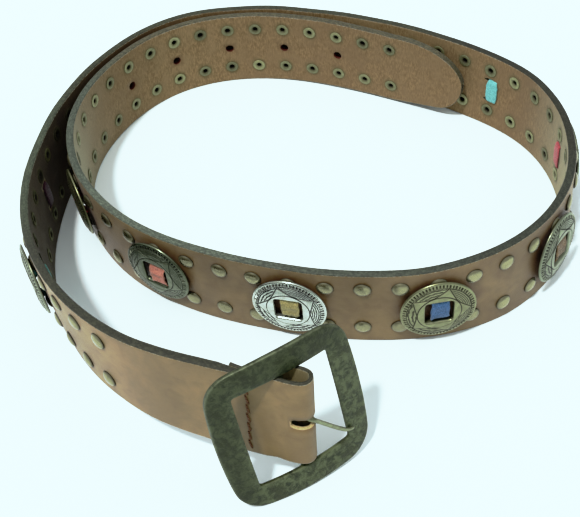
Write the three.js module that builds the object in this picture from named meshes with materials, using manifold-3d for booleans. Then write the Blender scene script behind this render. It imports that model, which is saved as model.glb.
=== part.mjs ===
// Studded leather belt standing on its lower edge in a loose coil of nearly two turns.
// Units are millimetres, +Z is up and the coil is seen from above in X and Y.
// The strap is a wall that follows a plan curve from its free tip to the fold that holds the buckle.
import * as THREE from 'three';
import * as BufferGeometryUtils from 'three/addons/utils/BufferGeometryUtils.js';
import Module from 'manifold-3d';

const wasm = await Module();
wasm.setup();

// ---------------------------------------------------------------- driving dimensions
const PITCH = 14.3;             // distance from one pair of studs to the next along the strap
const STRAP_WIDTH = 39.8;
const STRAP_THICK = 3.4;
const LAST_STUD = 68;           // stud pairs are numbered 0 (next to the tip) to 68
const ROW_LOWER = 9.3;          // height of the lower row of studs above the strap's lower edge
const ROW_UPPER = 31.8;
const ROW_MID = (ROW_LOWER + ROW_UPPER) / 2;
const FIT_GAP = 0.3;            // gap kept between pieces that touch

// Tip end: pitches before stud pair 0, lengths of its upper and lower rounded corners, and where its end is between them.
const TIP = { reach: 2.6, upperCorner: 44, lowerCorner: 13, endLow: 14.5, endHigh: 17 };
const STUD = { head: 3.5, rise: 1.6, shoulder: 3.0, shoulderRise: 0.75, sides: 6, post: 1.2, back: 2.4, backRise: 0.6, hole: 1.5 };   // post, back and hole are half widths of squares
const THREAD = { end: 1.3, low: 1.15, high: 1.8, width: 1.0 };   // thin link that joins the heads of one row
const HOLES = { stations: [2, 4, 6, 8, 10], radius: 2.4 };   // eight-sided, for the tongue
const CONCHO = { first: 16, every: 4, last: 64, radius: 15.1, standoff: 1.4, rim: 0.7, waist: 0.8, windowLong: 11.2, windowHigh: 11.0, sides: 12 };
const LACE = { width: 5.2, thick: 1.0, slitHalfPitch: 6.5, slitHigh: 1.8, slitLong: 5.9 };
const SKIVE = { start: 71.5, end: 72.4, thick: 1.6 };   // the strap is thinned before the fold
const BUCKLE = {
  x: -4.12, y: 213.62, z: 32.27,   // middle of the frame, in the plan curve's own coordinates
  yaw: 25.0, leanBack: 12.3, roll: 3.0,
  insideHalfWide: 18.4, insideHalfHigh: 21.75, insideCorner: 1.0, insideBulge: 0.3,
  outsideHalfWide: 27.3, outsideHalfHigh: 31.7, outsideCorner: 9.0, bulge: 0.8, sideBulge: 1.2,
  thick: 2.0, edge: 0.4, bow: 3.3, bowAt: 28,   // its sides are bent back by bow at bowAt from the middle
  bar: 1.25, barBack: 1.8,   // the centre bar is set back behind the frame
};
const TONGUE = { eyeInside: 1.45, eyeOutside: 2.15, eyeHigh: 2.6, eyeUp: 1.4, root: 0.95, tip: 0.7, sides: 8 };
// Cuts for the tongue, from "along" to the end of the fold and between two depths across it.
const TONGUE_SLOT = { up: 0.7, high: 5.4, cuts: [{ from: 9.4, behind: -3.2, front: 4 }, { from: 4.4, behind: -9, front: 0.75 }] };

// A row for each section of the strap's middle line, seen from above: "at" in stud pitches, "lean" of its
// top edge outwards in degrees and "lift" of its lower edge above the surface it stands on.
const PLAN = [
  { at: -2.6, x: 89.62, y: 403.99, lean: -2.9, lift: 5.3 },
  { at: -0.1, x: 59.77, y: 423.74, lean: -5.0, lift: 0.9 },
  { at: 2.7, x: 25.18, y: 443.79, lean: -3.5, lift: 0.6 },
  { at: 5.4, x: -11.58, y: 454.74, lean: -2.7, lift: 0.0 },
  { at: 8.1, x: -49.10, y: 448.19, lean: -1.7, lift: 0.0 },
  { at: 10.9, x: -78.29, y: 420.62, lean: -0.2, lift: 0.0 },
  { at: 13.6, x: -91.14, y: 384.35, lean: 1.7, lift: 0.0 },
  { at: 16.3, x: -84.80, y: 346.33, lean: 3.2, lift: 0.0 },
  { at: 19.1, x: -62.15, y: 313.24, lean: 1.9, lift: 0.0 },
  { at: 21.8, x: -30.13, y: 291.79, lean: 1.5, lift: 0.0 },
  { at: 24.5, x: 5.81, y: 277.87, lean: 2.8, lift: 0.0 },
  { at: 27.3, x: 45.19, y: 271.40, lean: 1.6, lift: 0.0 },
  { at: 30, x: 82.56, y: 279.24, lean: -1.3, lift: 0.0 },
  { at: 32.7, x: 111.22, y: 304.43, lean: -2.3, lift: 0.0 },
  { at: 35.5, x: 123.39, y: 342.12, lean: -1.5, lift: 0.0 },
  { at: 38.2, x: 117.25, y: 379.66, lean: 0.5, lift: 0.0 },
  { at: 40.9, x: 93.31, y: 409.36, lean: 1.3, lift: 0.0 },
  { at: 43.7, x: 61.04, y: 433.10, lean: 1.3, lift: 0.0 },
  { at: 46.4, x: 26.49, y: 451.00, lean: -1.9, lift: 0.0 },
  { at: 49.1, x: -11.45, y: 461.07, lean: -2.7, lift: 0.0 },
  { at: 51.9, x: -52.00, y: 454.45, lean: -1.6, lift: 0.0 },
  { at: 54.6, x: -80.96, y: 428.03, lean: 0.3, lift: 0.0 },
  { at: 57.3, x: -98.20, y: 393.29, lean: 3.3, lift: 0.0 },
  { at: 60.1, x: -106.36, y: 354.11, lean: 3.7, lift: 0.1 },
  { at: 62.8, x: -104.13, y: 315.71, lean: 3.7, lift: 1.8 },
  { at: 65.5, x: -90.74, y: 279.78, lean: 4.0, lift: 7.4 },
  { at: 68.3, x: -67.49, y: 247.31, lean: -0.1, lift: 11.5 },
  { at: 69.6, x: -53.03, y: 235.59, lean: -2.7, lift: 12.6 },
  { at: 71, x: -35.54, y: 225.95, lean: -4.7, lift: 13.6 },
  { at: 72.3, x: -18.69, y: 218.31, lean: -6.2, lift: 13.6 },
  { at: 73.7, x: 0.18, y: 211.86, lean: -7.0, lift: 13.4 },
  { at: 76.5, x: 39.79, y: 206.01, lean: -6.6, lift: 13.3 },
];

// Middle line of the folded end, seen from above: "along" is measured from station FOLD_FROM towards
// the fold, "across" from the strap's middle surface, negative towards the flesh side.
const FOLD_FROM = 72.7;
const FOLD_TURN = { over: 8, along: 0.0176, across: 0.02 };   // the fold turns a little out of line with the strap
const FOLD = [
  { along: 4.00, across: 0.45 },
  { along: 8.00, across: 0.92 },
  { along: 11.90, across: 0.92 },
  { along: 14.15, across: 0.40 },
  { along: 15.60, across: -0.80 },
  { along: 16.05, across: -2.40 },
  { along: 15.70, across: -3.90 },
  { along: 14.70, across: -4.95 },
  { along: 12.90, across: -5.55 },
  { along: 11.00, across: -5.72 },
  { along: 8.00, across: -5.55 },
  { along: 4.00, across: -4.60 },
  { along: 0.80, across: -2.60 },
  { along: -3.00, across: -0.75 },
  { along: -6.50, across: -1.00 },
  { along: -9.50, across: -1.45 },
  { along: -12.90, across: -2.00 },
];

// ---------------------------------------------------------------- plan curve
const RAD = Math.PI / 180;

// Natural cubic spline through one column of a table.
function spline(rows, key) {
  const n = rows.length, x = rows.map((r) => r.at), y = rows.map((r) => r[key]);
  const m = new Array(n).fill(0), c = new Array(n).fill(0), d = new Array(n).fill(0);
  for (let i = 1; i < n - 1; i++) {
    const h0 = x[i] - x[i - 1], h1 = x[i + 1] - x[i];
    const b = 2 * (h0 + h1) - h0 * c[i - 1];
    c[i] = h1 / b;
    d[i] = (6 * ((y[i + 1] - y[i]) / h1 - (y[i] - y[i - 1]) / h0) - h0 * d[i - 1]) / b;
  }
  for (let i = n - 2; i > 0; i--) m[i] = d[i] - c[i] * m[i + 1];
  return (s) => {
    let i = 0;
    while (i < n - 2 && s > x[i + 1]) i++;
    const h = x[i + 1] - x[i], a = (x[i + 1] - s) / h, b = (s - x[i]) / h;
    return a * y[i] + b * y[i + 1] + ((a ** 3 - a) * m[i] + (b ** 3 - b) * m[i + 1]) * h * h / 6;
  };
}
function straight(rows, key) {
  return (s) => {
    let i = 0;
    while (i < rows.length - 2 && s > rows[i + 1].at) i++;
    const p = rows[i], q = rows[i + 1];
    return p[key] + (q[key] - p[key]) * THREE.MathUtils.clamp((s - p.at) / (q.at - p.at), 0, 1);
  };
}
const planX = spline(PLAN, 'x'), planY = spline(PLAN, 'y');
const leanAt = straight(PLAN, 'lean');
const liftAt = straight(PLAN, 'lift');
const headingAt = (s) => Math.atan2(planY(s + 0.02) - planY(s - 0.02), planX(s + 0.02) - planX(s - 0.02));

// A point of the strap: "across" from its middle surface towards the grain side, "up" from its lower edge.
function strapPoint(s, across, up) {
  const a = headingAt(s);
  const off = across + (up - STRAP_WIDTH / 2) * Math.tan(leanAt(s) * RAD);
  return new THREE.Vector3(planX(s) + Math.sin(a) * off, planY(s) - Math.cos(a) * off, up + liftAt(s));
}

// ---------------------------------------------------------------- solids
function solid(geometry) {
  const g = geometry.clone();
  for (const key of Object.keys(g.attributes)) if (key !== 'position') g.deleteAttribute(key);
  const merged = BufferGeometryUtils.mergeVertices(g, 1e-4);
  const index = [];
  for (let i = 0; i < merged.index.count; i += 3) {
    const [a, b, c] = [0, 1, 2].map((k) => merged.index.getX(i + k));
    if (a !== b && b !== c && c !== a) index.push(a, b, c);
  }
  const corner = [0, 1, 2].map(() => new THREE.Vector3());
  let volume = 0;
  for (let i = 0; i < index.length; i += 3) {
    corner.forEach((v, k) => v.fromBufferAttribute(merged.attributes.position, index[i + k]));
    volume += corner[0].dot(corner[1].clone().cross(corner[2]));
  }
  if (volume < 0) index.reverse();   // faces look outwards
  return new wasm.Manifold(new wasm.Mesh({
    numProp: 3,
    vertProperties: new Float32Array(merged.attributes.position.array),
    triVerts: new Uint32Array(index),
  }));
}
function geometryOf(manifold) {
  const m = manifold.getMesh(), g = new THREE.BufferGeometry();
  g.setAttribute('position', new THREE.BufferAttribute(new Float32Array(m.vertProperties), 3));
  g.setIndex(new THREE.BufferAttribute(new Uint32Array(m.triVerts), 1));
  g.computeVertexNormals();
  return g;
}
// A tube through rings of equal length, closed by a fan at each end unless its last ring is its first.
function loft(rings, capped = true) {
  const k = rings[0].length, pos = [], index = [];
  for (const ring of rings) for (const p of ring) pos.push(p.x, p.y, p.z);
  for (let i = 0; i < rings.length - 1; i++) {
    for (let j = 0; j < k; j++) {
      const a = i * k + j, b = i * k + (j + 1) % k, c = a + k, d = b + k;
      index.push(a, b, c, b, d, c);
    }
  }
  const last = (rings.length - 1) * k;
  for (let j = 1; capped && j < k - 1; j++) {
    index.push(0, j + 1, j);
    index.push(last, last + j, last + j + 1);
  }
  const g = new THREE.BufferGeometry();
  g.setAttribute('position', new THREE.Float32BufferAttribute(pos, 3));
  g.setIndex(index);
  return g;
}
// Local frame of a station: X along the strap, Y outwards from the grain face, Z towards the lower edge.
function seat(s, up) {
  const h = 0.5;
  const low0 = strapPoint(s - h, STRAP_THICK / 2, 0), low1 = strapPoint(s + h, STRAP_THICK / 2, 0);
  const top0 = strapPoint(s - h, STRAP_THICK / 2, STRAP_WIDTH), top1 = strapPoint(s + h, STRAP_THICK / 2, STRAP_WIDTH);
  const along = low1.clone().add(top1).sub(low0).sub(top0).normalize();
  const rise = top0.clone().add(top1).sub(low0).sub(low1).normalize();
  const out = rise.clone().cross(along).negate().normalize();
  const high = along.clone().cross(out).normalize();
  const f = up / STRAP_WIDTH;
  const origin = low0.clone().add(low1).multiplyScalar((1 - f) / 2).add(top0.clone().add(top1).multiplyScalar(f / 2));
  return new THREE.Matrix4().makeBasis(along, out, high).setPosition(origin);
}

// ---------------------------------------------------------------- strap
function strapSection(s, thick, low = 0, high = STRAP_WIDTH) {
  const inner = STRAP_THICK / 2 - thick, outer = STRAP_THICK / 2;
  const ring = [strapPoint(s, inner, low), strapPoint(s, outer, low), strapPoint(s, outer, high), strapPoint(s, inner, high)];
  return Object.assign(ring, { edges: [low, high] });
}
const corner = (along, length) => Math.sqrt(Math.max(0, 1 - (1 - Math.min(along / length, 1)) ** 2));
function tipEdges(s) {
  const along = (s + TIP.reach) * PITCH, rest = 1 - THREE.MathUtils.clamp(along / TIP.upperCorner, 0, 1);
  return [TIP.endLow * (1 - corner(along, TIP.lowerCorner)), TIP.endHigh + (STRAP_WIDTH - TIP.endHigh) * (1 - rest ** 2.4) ** 0.6];
}
const stations = [0, 0.4, 1.4, 3.2, 6, 9.5, 14, 20, 24.5].map((mm) => -TIP.reach + mm / PITCH);
stations.push(-0.5);
for (let s = 0.5; s <= LAST_STUD + 0.5; s++) stations.push(s);
stations.push(69.5, 70.5, SKIVE.start, SKIVE.end, FOLD_FROM);
const skiveAt = straight([{ at: SKIVE.start, thick: STRAP_THICK }, { at: SKIVE.end, thick: SKIVE.thick }], 'thick');
// Openings of one panel: outlines in its own coordinates, "along" from -0.5 to 0.5 and "up" in millimetres.
const squareHole = (x, y, halfX, halfY) => [[-1, -1], [1, -1], [1, 1], [-1, 1]].map(([i, j]) => ({ along: (x + i * halfX) / PITCH, up: y + j * halfY }));
const roundHole = (x, y, r, sides) => Array.from({ length: sides }, (_, i) => {
  const a = (i + 0.5) / sides * 2 * Math.PI;
  return { along: (x + r * Math.cos(a)) / PITCH, up: y + r * Math.sin(a) };
});
const conchoStations = [];
for (let k = CONCHO.first; k <= CONCHO.last; k += CONCHO.every) conchoStations.push(k);
function openingsAt(k) {
  const slope = (liftAt(k + 0.5) - liftAt(k - 0.5)) / PITCH;
  // An outline drawn round the middle of the strap, turned to stay square to a strap that climbs.
  const turned = (outline) => outline.map((p) => {
    const up = p.up - ROW_MID;
    return { along: p.along - up * slope / PITCH, up: ROW_MID + up * Math.hypot(1, slope) };
  });
  const list = [ROW_LOWER, ROW_UPPER].map((row) => squareHole(0, row, STUD.hole, STUD.hole));
  if (HOLES.stations.includes(k)) list.push(roundHole(0, ROW_MID, HOLES.radius, 8));
  if (conchoStations.includes(k)) for (const side of [-1, 1]) list.push(turned(squareHole(0, ROW_MID + side * LACE.slitHalfPitch, LACE.slitLong / 2, LACE.slitHigh / 2)));
  return list;
}
// The strap wall from section to section. Each panel's two faces carry the same openings.
function strapWall(sections, openings) {
  const pos = [];
  const tri = (...pts) => pts.forEach((p) => pos.push(p.x, p.y, p.z));
  const quad = (p, q, r, t) => { tri(p, q, r); tri(p, r, t); };
  for (let i = 0; i < sections.length - 1; i++) {
    const a = sections[i], b = sections[i + 1], { holes, rise } = openings[i];
    // One face of the panel: its four corners, its holes and the triangles between them.
    const face = (low, high, shiftUp) => {
      const corners = [[-0.5, 0], [0.5, 0], [0.5, 1], [-0.5, 1]].map(([along, v]) => ({ along, v, up: (along < 0 ? a : b).edges[v] }));
      const moved = holes.map((hole) => hole.map((p) => ({ along: p.along, up: p.up + shiftUp })));
      const flat = (list) => list.map((p) => new THREE.Vector2(p.along * PITCH, p.up));
      const all = [corners, ...moved].flat(), plane = flat(all);
      const points = all.map((p) => {
        const u = p.along + 0.5, [bottom, top] = [0, 1].map((f) => THREE.MathUtils.lerp(a.edges[f], b.edges[f], u));
        const v = p.v ?? (p.up - bottom) / (top - bottom);
        return a[low].clone().lerp(b[low], u).lerp(a[high].clone().lerp(b[high], u), v);
      });
      const faces = THREE.ShapeUtils.triangulateShape(flat(corners), moved.map(flat)).map((f) => {
        const [p, q, r] = f.map((j) => plane[j]);
        return (q.x - p.x) * (r.y - p.y) - (q.y - p.y) * (r.x - p.x) > 0 ? f : [f[0], f[2], f[1]];
      });
      return { points, faces };
    };
    // The holes run square to the leaning wall, so they come out a little higher or lower inside.
    const outer = face(1, 2, 0), inner = face(0, 3, rise);
    for (const [p, q, r] of outer.faces) tri(outer.points[p], outer.points[q], outer.points[r]);
    for (const [p, q, r] of inner.faces) tri(inner.points[p], inner.points[r], inner.points[q]);
    const [o, n] = [outer.points, inner.points];
    quad(n[0], n[1], o[1], o[0]);
    quad(o[3], o[2], n[2], n[3]);
    let at = 4;
    for (const hole of holes) {
      for (let j = 0; j < hole.length; j++) {
        const k = (j + 1) % hole.length;
        quad(n[at + k], n[at + j], o[at + j], o[at + k]);
      }
      at += hole.length;
    }
  }
  const first = sections[0], last = sections[sections.length - 1];
  quad(first[0], first[1], first[2], first[3]);
  quad(last[3], last[2], last[1], last[0]);
  const g = new THREE.BufferGeometry();
  g.setAttribute('position', new THREE.Float32BufferAttribute(pos, 3));
  return g;
}
const strapSections = stations.map((s) => strapSection(s, s <= SKIVE.start ? STRAP_THICK : skiveAt(s), ...tipEdges(s)));
const strapOpenings = stations.slice(0, -1).map((s, i) => {
  const k = (s + stations[i + 1]) / 2;
  const holes = Number.isInteger(k) && k >= 0 && k <= LAST_STUD ? openingsAt(k) : [];
  return { holes, rise: STRAP_THICK * Math.tan(leanAt(k) * RAD) };
});

// The folded end turns round the buckle's bar and lies against the strap's flesh side, where it is sewn.
const foldFrame = { s: FOLD_FROM };
function foldPoint(alongAt, acrossAt, up) {
  const w = THREE.MathUtils.smoothstep(alongAt, 0, FOLD_TURN.over) * (STRAP_WIDTH / 2 - up);
  const along = alongAt + w * FOLD_TURN.along, across = acrossAt + w * FOLD_TURN.across;
  if (along <= 0) return strapPoint(foldFrame.s + along / PITCH, across, up);
  const base = strapPoint(foldFrame.s, across, up), a = headingAt(foldFrame.s);
  return new THREE.Vector3(base.x + Math.cos(a) * along, base.y + Math.sin(a) * along, base.z);
}
const foldCurve = new THREE.CatmullRomCurve3(FOLD.map((r) => new THREE.Vector3(r.along, r.across, 0)), false, 'centripetal');
const foldRings = [strapSection(FOLD_FROM, SKIVE.thick)];
const FOLD_STEPS = 30;
for (let i = 0; i <= FOLD_STEPS; i++) {
  const p = foldCurve.getPoint(i / FOLD_STEPS), t = foldCurve.getTangent(i / FOLD_STEPS);
  const n = new THREE.Vector2(-t.y, t.x).normalize().multiplyScalar(SKIVE.thick / 2);
  foldRings.push([
    foldPoint(p.x - n.x, p.y - n.y, 0), foldPoint(p.x + n.x, p.y + n.y, 0),
    foldPoint(p.x + n.x, p.y + n.y, STRAP_WIDTH), foldPoint(p.x - n.x, p.y - n.y, STRAP_WIDTH),
  ]);
}

const studSeats = [];
for (let k = 0; k <= LAST_STUD; k++) for (const row of [ROW_LOWER, ROW_UPPER]) studSeats.push({ k, row, at: seat(k, row) });

// ---------------------------------------------------------------- buckle's own frame
const buckleTurn = new THREE.Matrix4().makeRotationZ(BUCKLE.yaw * RAD)
  .multiply(new THREE.Matrix4().makeRotationX((90 - BUCKLE.leanBack) * RAD))
  .multiply(new THREE.Matrix4().makeRotationZ(BUCKLE.roll * RAD));
const bucklePlace = buckleTurn.clone().setPosition(BUCKLE.x, BUCKLE.y, BUCKLE.z);

// The slot for the tongue goes round the end of the fold, with room for the eye behind the front layer.
const slots = TONGUE_SLOT.cuts.map(({ from, behind, front }) => {
  const place = new THREE.Matrix4().makeRotationZ(headingAt(FOLD_FROM)).setPosition(foldPoint(from, front, STRAP_WIDTH / 2 + TONGUE_SLOT.up));
  return solid(new THREE.BoxGeometry(16, front - behind, TONGUE_SLOT.high).translate(8, (front - behind) / 2, 0).applyMatrix4(place));
});
const strapManifold = solid(strapWall(strapSections, strapOpenings)).add(solid(loft(foldRings))).subtract(wasm.Manifold.union(slots));

// ---------------------------------------------------------------- studs
// A six-sided domed head on a square post, with a square washer behind the leather. Y is the post's axis.
function stud(at) {
  const pos = [];
  const tri = (...pts) => pts.forEach((p) => pos.push(p.x, p.y, p.z));
  const ring = (n, r, y, turn = 0) => Array.from({ length: n }, (_, i) => {
    const a = turn + i / n * 2 * Math.PI;
    return new THREE.Vector3(r * Math.sin(a), y, r * Math.cos(a));
  });
  const skin = (a, b) => a.forEach((p, i) => {
    const j = (i + 1) % a.length;
    tri(p, a[j], b[j]);
    tri(p, b[j], b[i]);
  });
  const square = (half, y) => ring(4, half * Math.SQRT2, y, Math.PI / 4);
  const back = -STRAP_THICK - FIT_GAP, low = new THREE.Vector3(0, back - STUD.backRise, 0), top = new THREE.Vector3(0, FIT_GAP + STUD.rise, 0);
  const washer = square(STUD.back, back), post = square(STUD.post, back), neck = square(STUD.post, FIT_GAP);
  const base = ring(STUD.sides, STUD.head, FIT_GAP), shoulder = ring(STUD.sides, STUD.shoulder, FIT_GAP + STUD.shoulderRise);
  washer.forEach((p, i) => tri(low, washer[(i + 1) % 4], p));
  skin(washer, post);
  skin(post, neck);
  const flat = (list) => list.map((p) => new THREE.Vector2(p.x, p.z)), under = [...base, ...neck], plane = flat(under);
  for (const f of THREE.ShapeUtils.triangulateShape(flat(base), [flat(neck)])) {
    const [p, q, r] = f.map((j) => plane[j]);
    const cw = (q.x - p.x) * (r.y - p.y) - (q.y - p.y) * (r.x - p.x) < 0;
    tri(under[f[0]], under[f[cw ? 2 : 1]], under[f[cw ? 1 : 2]]);
  }
  skin(base, shoulder);
  shoulder.forEach((p, i) => tri(p, shoulder[(i + 1) % STUD.sides], top));
  const g = new THREE.BufferGeometry();
  g.setAttribute('position', new THREE.Float32BufferAttribute(pos, 3));
  return solid(g.applyMatrix4(at));
}
// Studs of one row, their heads joined by a thin link just above the leather.
function studRow(row, from, to) {
  const seats = studSeats.filter((q) => q.row === row && q.k >= from && q.k <= to);
  const parts = seats.map((q) => stud(q.at));
  for (let i = 0; i < seats.length - 1; i++) {
    const [a, b] = [seats[i].at, seats[i + 1].at];
    const at = (x, y, z) => [a, b].map((m) => new THREE.Vector3(x, y, z).applyMatrix4(m)).reduce((p, q) => p.add(q)).multiplyScalar(0.5);
    const ends = [a, b].map((m) => new THREE.Vector3(0, THREAD.end, 0).applyMatrix4(m));
    const waist = [at(0, THREAD.low, -THREAD.width / 2), at(0, THREAD.high, 0), at(0, THREAD.low, THREAD.width / 2)];
    parts.push(solid(loft([waist.map(() => ends[0]), waist, waist.map(() => ends[1])], false)));
  }
  return wasm.Manifold.union(parts);
}

// ---------------------------------------------------------------- conchos and laces
// A domed disc with a square window. Its rings share angles, so that the window's corners are corners of the ring.
function conchoShape() {
  const { radius, standoff, rim, waist, sides } = CONCHO;
  const angles = Array.from({ length: sides }, (_, i) => (45 + i * 360 / sides) * RAD);
  const circle = (r, y) => angles.map((a) => new THREE.Vector3(r * Math.cos(a), y, r * Math.sin(a)));
  const square = (y) => angles.map((a) => {
    const f = 1 / Math.max(Math.abs(Math.cos(a)), Math.abs(Math.sin(a)));
    return new THREE.Vector3(CONCHO.windowLong / 2 * f * Math.cos(a), y, CONCHO.windowHigh / 2 * f * Math.sin(a));
  });
  const rings = [
    square(standoff + 1.5), circle(radius * waist, standoff + 1.3), circle(radius, standoff), circle(radius, standoff + rim),
    circle(radius * waist, standoff + 1.95), circle(radius * 0.58, standoff + 2.5), square(standoff + 2.6),
  ];
  return solid(loft([...rings, rings[0]], false));
}
function laceShape() {
  const half = LACE.thick / 2, back = -STRAP_THICK - FIT_GAP - half, p = LACE.slitHalfPitch;
  const route = [
    { high: p, out: back }, { high: p, out: 0.45 }, { high: 5.0, out: 1.1 }, { high: 3.9, out: 1.75 },
    { high: 2.6, out: 2.35 }, { high: 0, out: 2.75 }, { high: -2.6, out: 2.35 }, { high: -3.9, out: 1.75 },
    { high: -5.0, out: 1.1 }, { high: -p, out: 0.45 }, { high: -p, out: back },
  ].map((r) => new THREE.Vector2(r.high, r.out));
  const offset = (side) => route.map((q, i) => {
    const a = route[(i + route.length - 1) % route.length], b = route[(i + 1) % route.length];
    const u = q.clone().sub(a).normalize(), v = b.clone().sub(q).normalize();
    const n = new THREE.Vector2(-u.y - v.y, u.x + v.x).normalize();
    const scale = side * half / Math.max(0.4, n.x * -u.y + n.y * u.x);
    return q.clone().addScaledVector(n, scale);
  });
  const shape = new THREE.Shape(offset(-1));
  shape.holes.push(new THREE.Path(offset(1)));
  const g = new THREE.ExtrudeGeometry(shape, { depth: LACE.width, bevelEnabled: false, steps: 1 });
  // shape X is up the strap, shape Y is outwards, and the extrusion runs along the strap
  g.translate(0, 0, -LACE.width / 2);
  g.applyMatrix4(new THREE.Matrix4().makeBasis(new THREE.Vector3(0, 0, 1), new THREE.Vector3(0, 1, 0), new THREE.Vector3(-1, 0, 0)));
  return solid(g);
}

// ---------------------------------------------------------------- buckle frame and tongue
function bulgedOutline(w, h, r, bulge, sideBulge) {
  const s = new THREE.Shape();
  s.moveTo(-w + r, -h);
  s.quadraticCurveTo(0, -h - 2 * bulge, w - r, -h);
  s.quadraticCurveTo(w - 0.22 * r, -h + 0.22 * r, w, -h + r);
  s.quadraticCurveTo(w + 2 * sideBulge, 0, w, h - r);
  s.quadraticCurveTo(w - 0.22 * r, h - 0.22 * r, w - r, h);
  s.quadraticCurveTo(0, h + 2 * bulge, -w + r, h);
  s.quadraticCurveTo(-w + 0.22 * r, h - 0.22 * r, -w, h - r);
  s.quadraticCurveTo(-w - 2 * sideBulge, 0, -w, -h + r);
  s.quadraticCurveTo(-w + 0.22 * r, -h + 0.22 * r, -w + r, -h);
  return s;
}
function roundedHole(w, h, r, bulge) {
  const s = new THREE.Path();
  s.moveTo(-w + r, -h);
  s.quadraticCurveTo(0, -h - 2 * bulge, w - r, -h); s.quadraticCurveTo(w, -h, w, -h + r);
  s.quadraticCurveTo(w + bulge, 0, w, h - r); s.quadraticCurveTo(w, h, w - r, h);
  s.quadraticCurveTo(0, h + 2 * bulge, -w + r, h); s.quadraticCurveTo(-w, h, -w, h - r);
  s.quadraticCurveTo(-w - bulge, 0, -w, -h + r); s.quadraticCurveTo(-w, -h, -w + r, -h);
  return s;
}
function buckleFrame() {
  const b = BUCKLE;
  const outline = bulgedOutline(b.outsideHalfWide - b.edge, b.outsideHalfHigh - b.edge, b.outsideCorner, b.bulge, b.sideBulge);
  outline.holes.push(roundedHole(b.insideHalfWide + b.edge, b.insideHalfHigh + b.edge, b.insideCorner, b.insideBulge));
  const ring = new THREE.ExtrudeGeometry(outline, {
    depth: b.thick - 2 * b.edge, bevelEnabled: true, bevelThickness: b.edge, bevelSize: b.edge, bevelSegments: 1, curveSegments: 8,
  });
  ring.translate(0, 0, -(b.thick - 2 * b.edge) / 2);
  const pos = ring.attributes.position;
  for (let i = 0; i < pos.count; i++) pos.setZ(i, pos.getZ(i) - b.bow * (pos.getX(i) / b.bowAt) ** 2);
  const bar = new THREE.CylinderGeometry(b.bar, b.bar, 2 * b.insideHalfHigh + 7, 12).translate(0, 0, -b.barBack);
  // a lug behind the frame holds each end of the bar
  const lugs = [-1, 1].map((side) => solid(new THREE.BoxGeometry(4.0, 3.0, b.barBack + 1).translate(0, side * (b.insideHalfHigh + 3.3), -b.barBack / 2 - 0.7)));
  return wasm.Manifold.union([solid(ring), solid(bar), ...lugs]);
}
// Route of the tongue in the buckle's frame: "right" and "up" in its plane, "front" out of it.
const TONGUE_ROUTE = [
  { right: 1.2, up: 1.4, front: -0.45 },
  { right: 3.2, up: 1.35, front: 2.3 },
  { right: 4.7, up: 1.1, front: 4.2 },
  { right: 5.6, up: 0.3, front: 4.75 },
  { right: 7.2, up: -2.0, front: 4.1 },
  { right: 9.5, up: -5.3, front: 3.25 },
  { right: 12.5, up: -9.6, front: 2.2 },
  { right: 15.1, up: -13.1, front: 1.35 },
  { right: 17.4, up: -15.8, front: 0.75 },
  { right: 19.1, up: -16.85, front: 0.35 },
  { right: 20.9, up: -17.5, front: 0.05 },
];
function tongue() {
  const t = TONGUE;
  const eye = new THREE.LatheGeometry([
    new THREE.Vector2(t.eyeInside, -t.eyeHigh / 2), new THREE.Vector2(t.eyeOutside, -t.eyeHigh / 2),
    new THREE.Vector2(t.eyeOutside, t.eyeHigh / 2), new THREE.Vector2(t.eyeInside, t.eyeHigh / 2),
    new THREE.Vector2(t.eyeInside, -t.eyeHigh / 2),
  ], 16).translate(0, t.eyeUp, -BUCKLE.barBack);
  const curve = new THREE.CatmullRomCurve3(TONGUE_ROUTE.map((r) => new THREE.Vector3(r.right, r.up, r.front)), false, 'centripetal');
  const steps = 22, rings = [];
  for (let i = 0; i <= steps; i++) {
    const f = i / steps, p = curve.getPoint(f), d = curve.getTangent(f);
    const side = d.clone().cross(new THREE.Vector3(0, 0, 1)).normalize(), top = side.clone().cross(d);
    const r = THREE.MathUtils.lerp(t.root, t.tip, f ** 2);
    const ring = [];
    for (let j = 0; j < t.sides; j++) {
      const a = j / t.sides * 2 * Math.PI;
      ring.push(p.clone().addScaledVector(side, r * Math.cos(a)).addScaledVector(top, r * Math.sin(a)));
    }
    rings.push(ring);
  }
  return solid(eye).add(solid(loft(rings)));
}

// ---------------------------------------------------------------- materials
const material = (color, roughness, metalness) => new THREE.MeshStandardMaterial({ color, roughness, metalness });
const LEATHER = material(0x8a6a52, 0.7, 0);
const STUD_BRASS = material(0x9a9468, 0.4, 0.9);
const BRONZE = material(0x4c5440, 0.55, 0.85);
const TONGUE_BRONZE = material(0x7a7450, 0.45, 0.9);
const PLATES = { brass: material(0x9c9a72, 0.4, 0.9), dark: material(0x5d6354, 0.45, 0.9), silver: material(0xd5dcd8, 0.3, 0.95), nickel: material(0xa9aa98, 0.35, 0.95) };
const LACES = {
  rose: material(0xc05a62, 0.9, 0), orange: material(0xd8895e, 0.9, 0), cream: material(0xcfc084, 0.9, 0), blue: material(0x4f86c4, 0.9, 0),
  rust: material(0xa8643c, 0.9, 0), cyan: material(0x6fc6cc, 0.9, 0), teal: material(0x3d9a90, 0.9, 0), plum: material(0x6f2848, 0.9, 0), green: material(0x6d8f4e, 0.9, 0),
};
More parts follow.
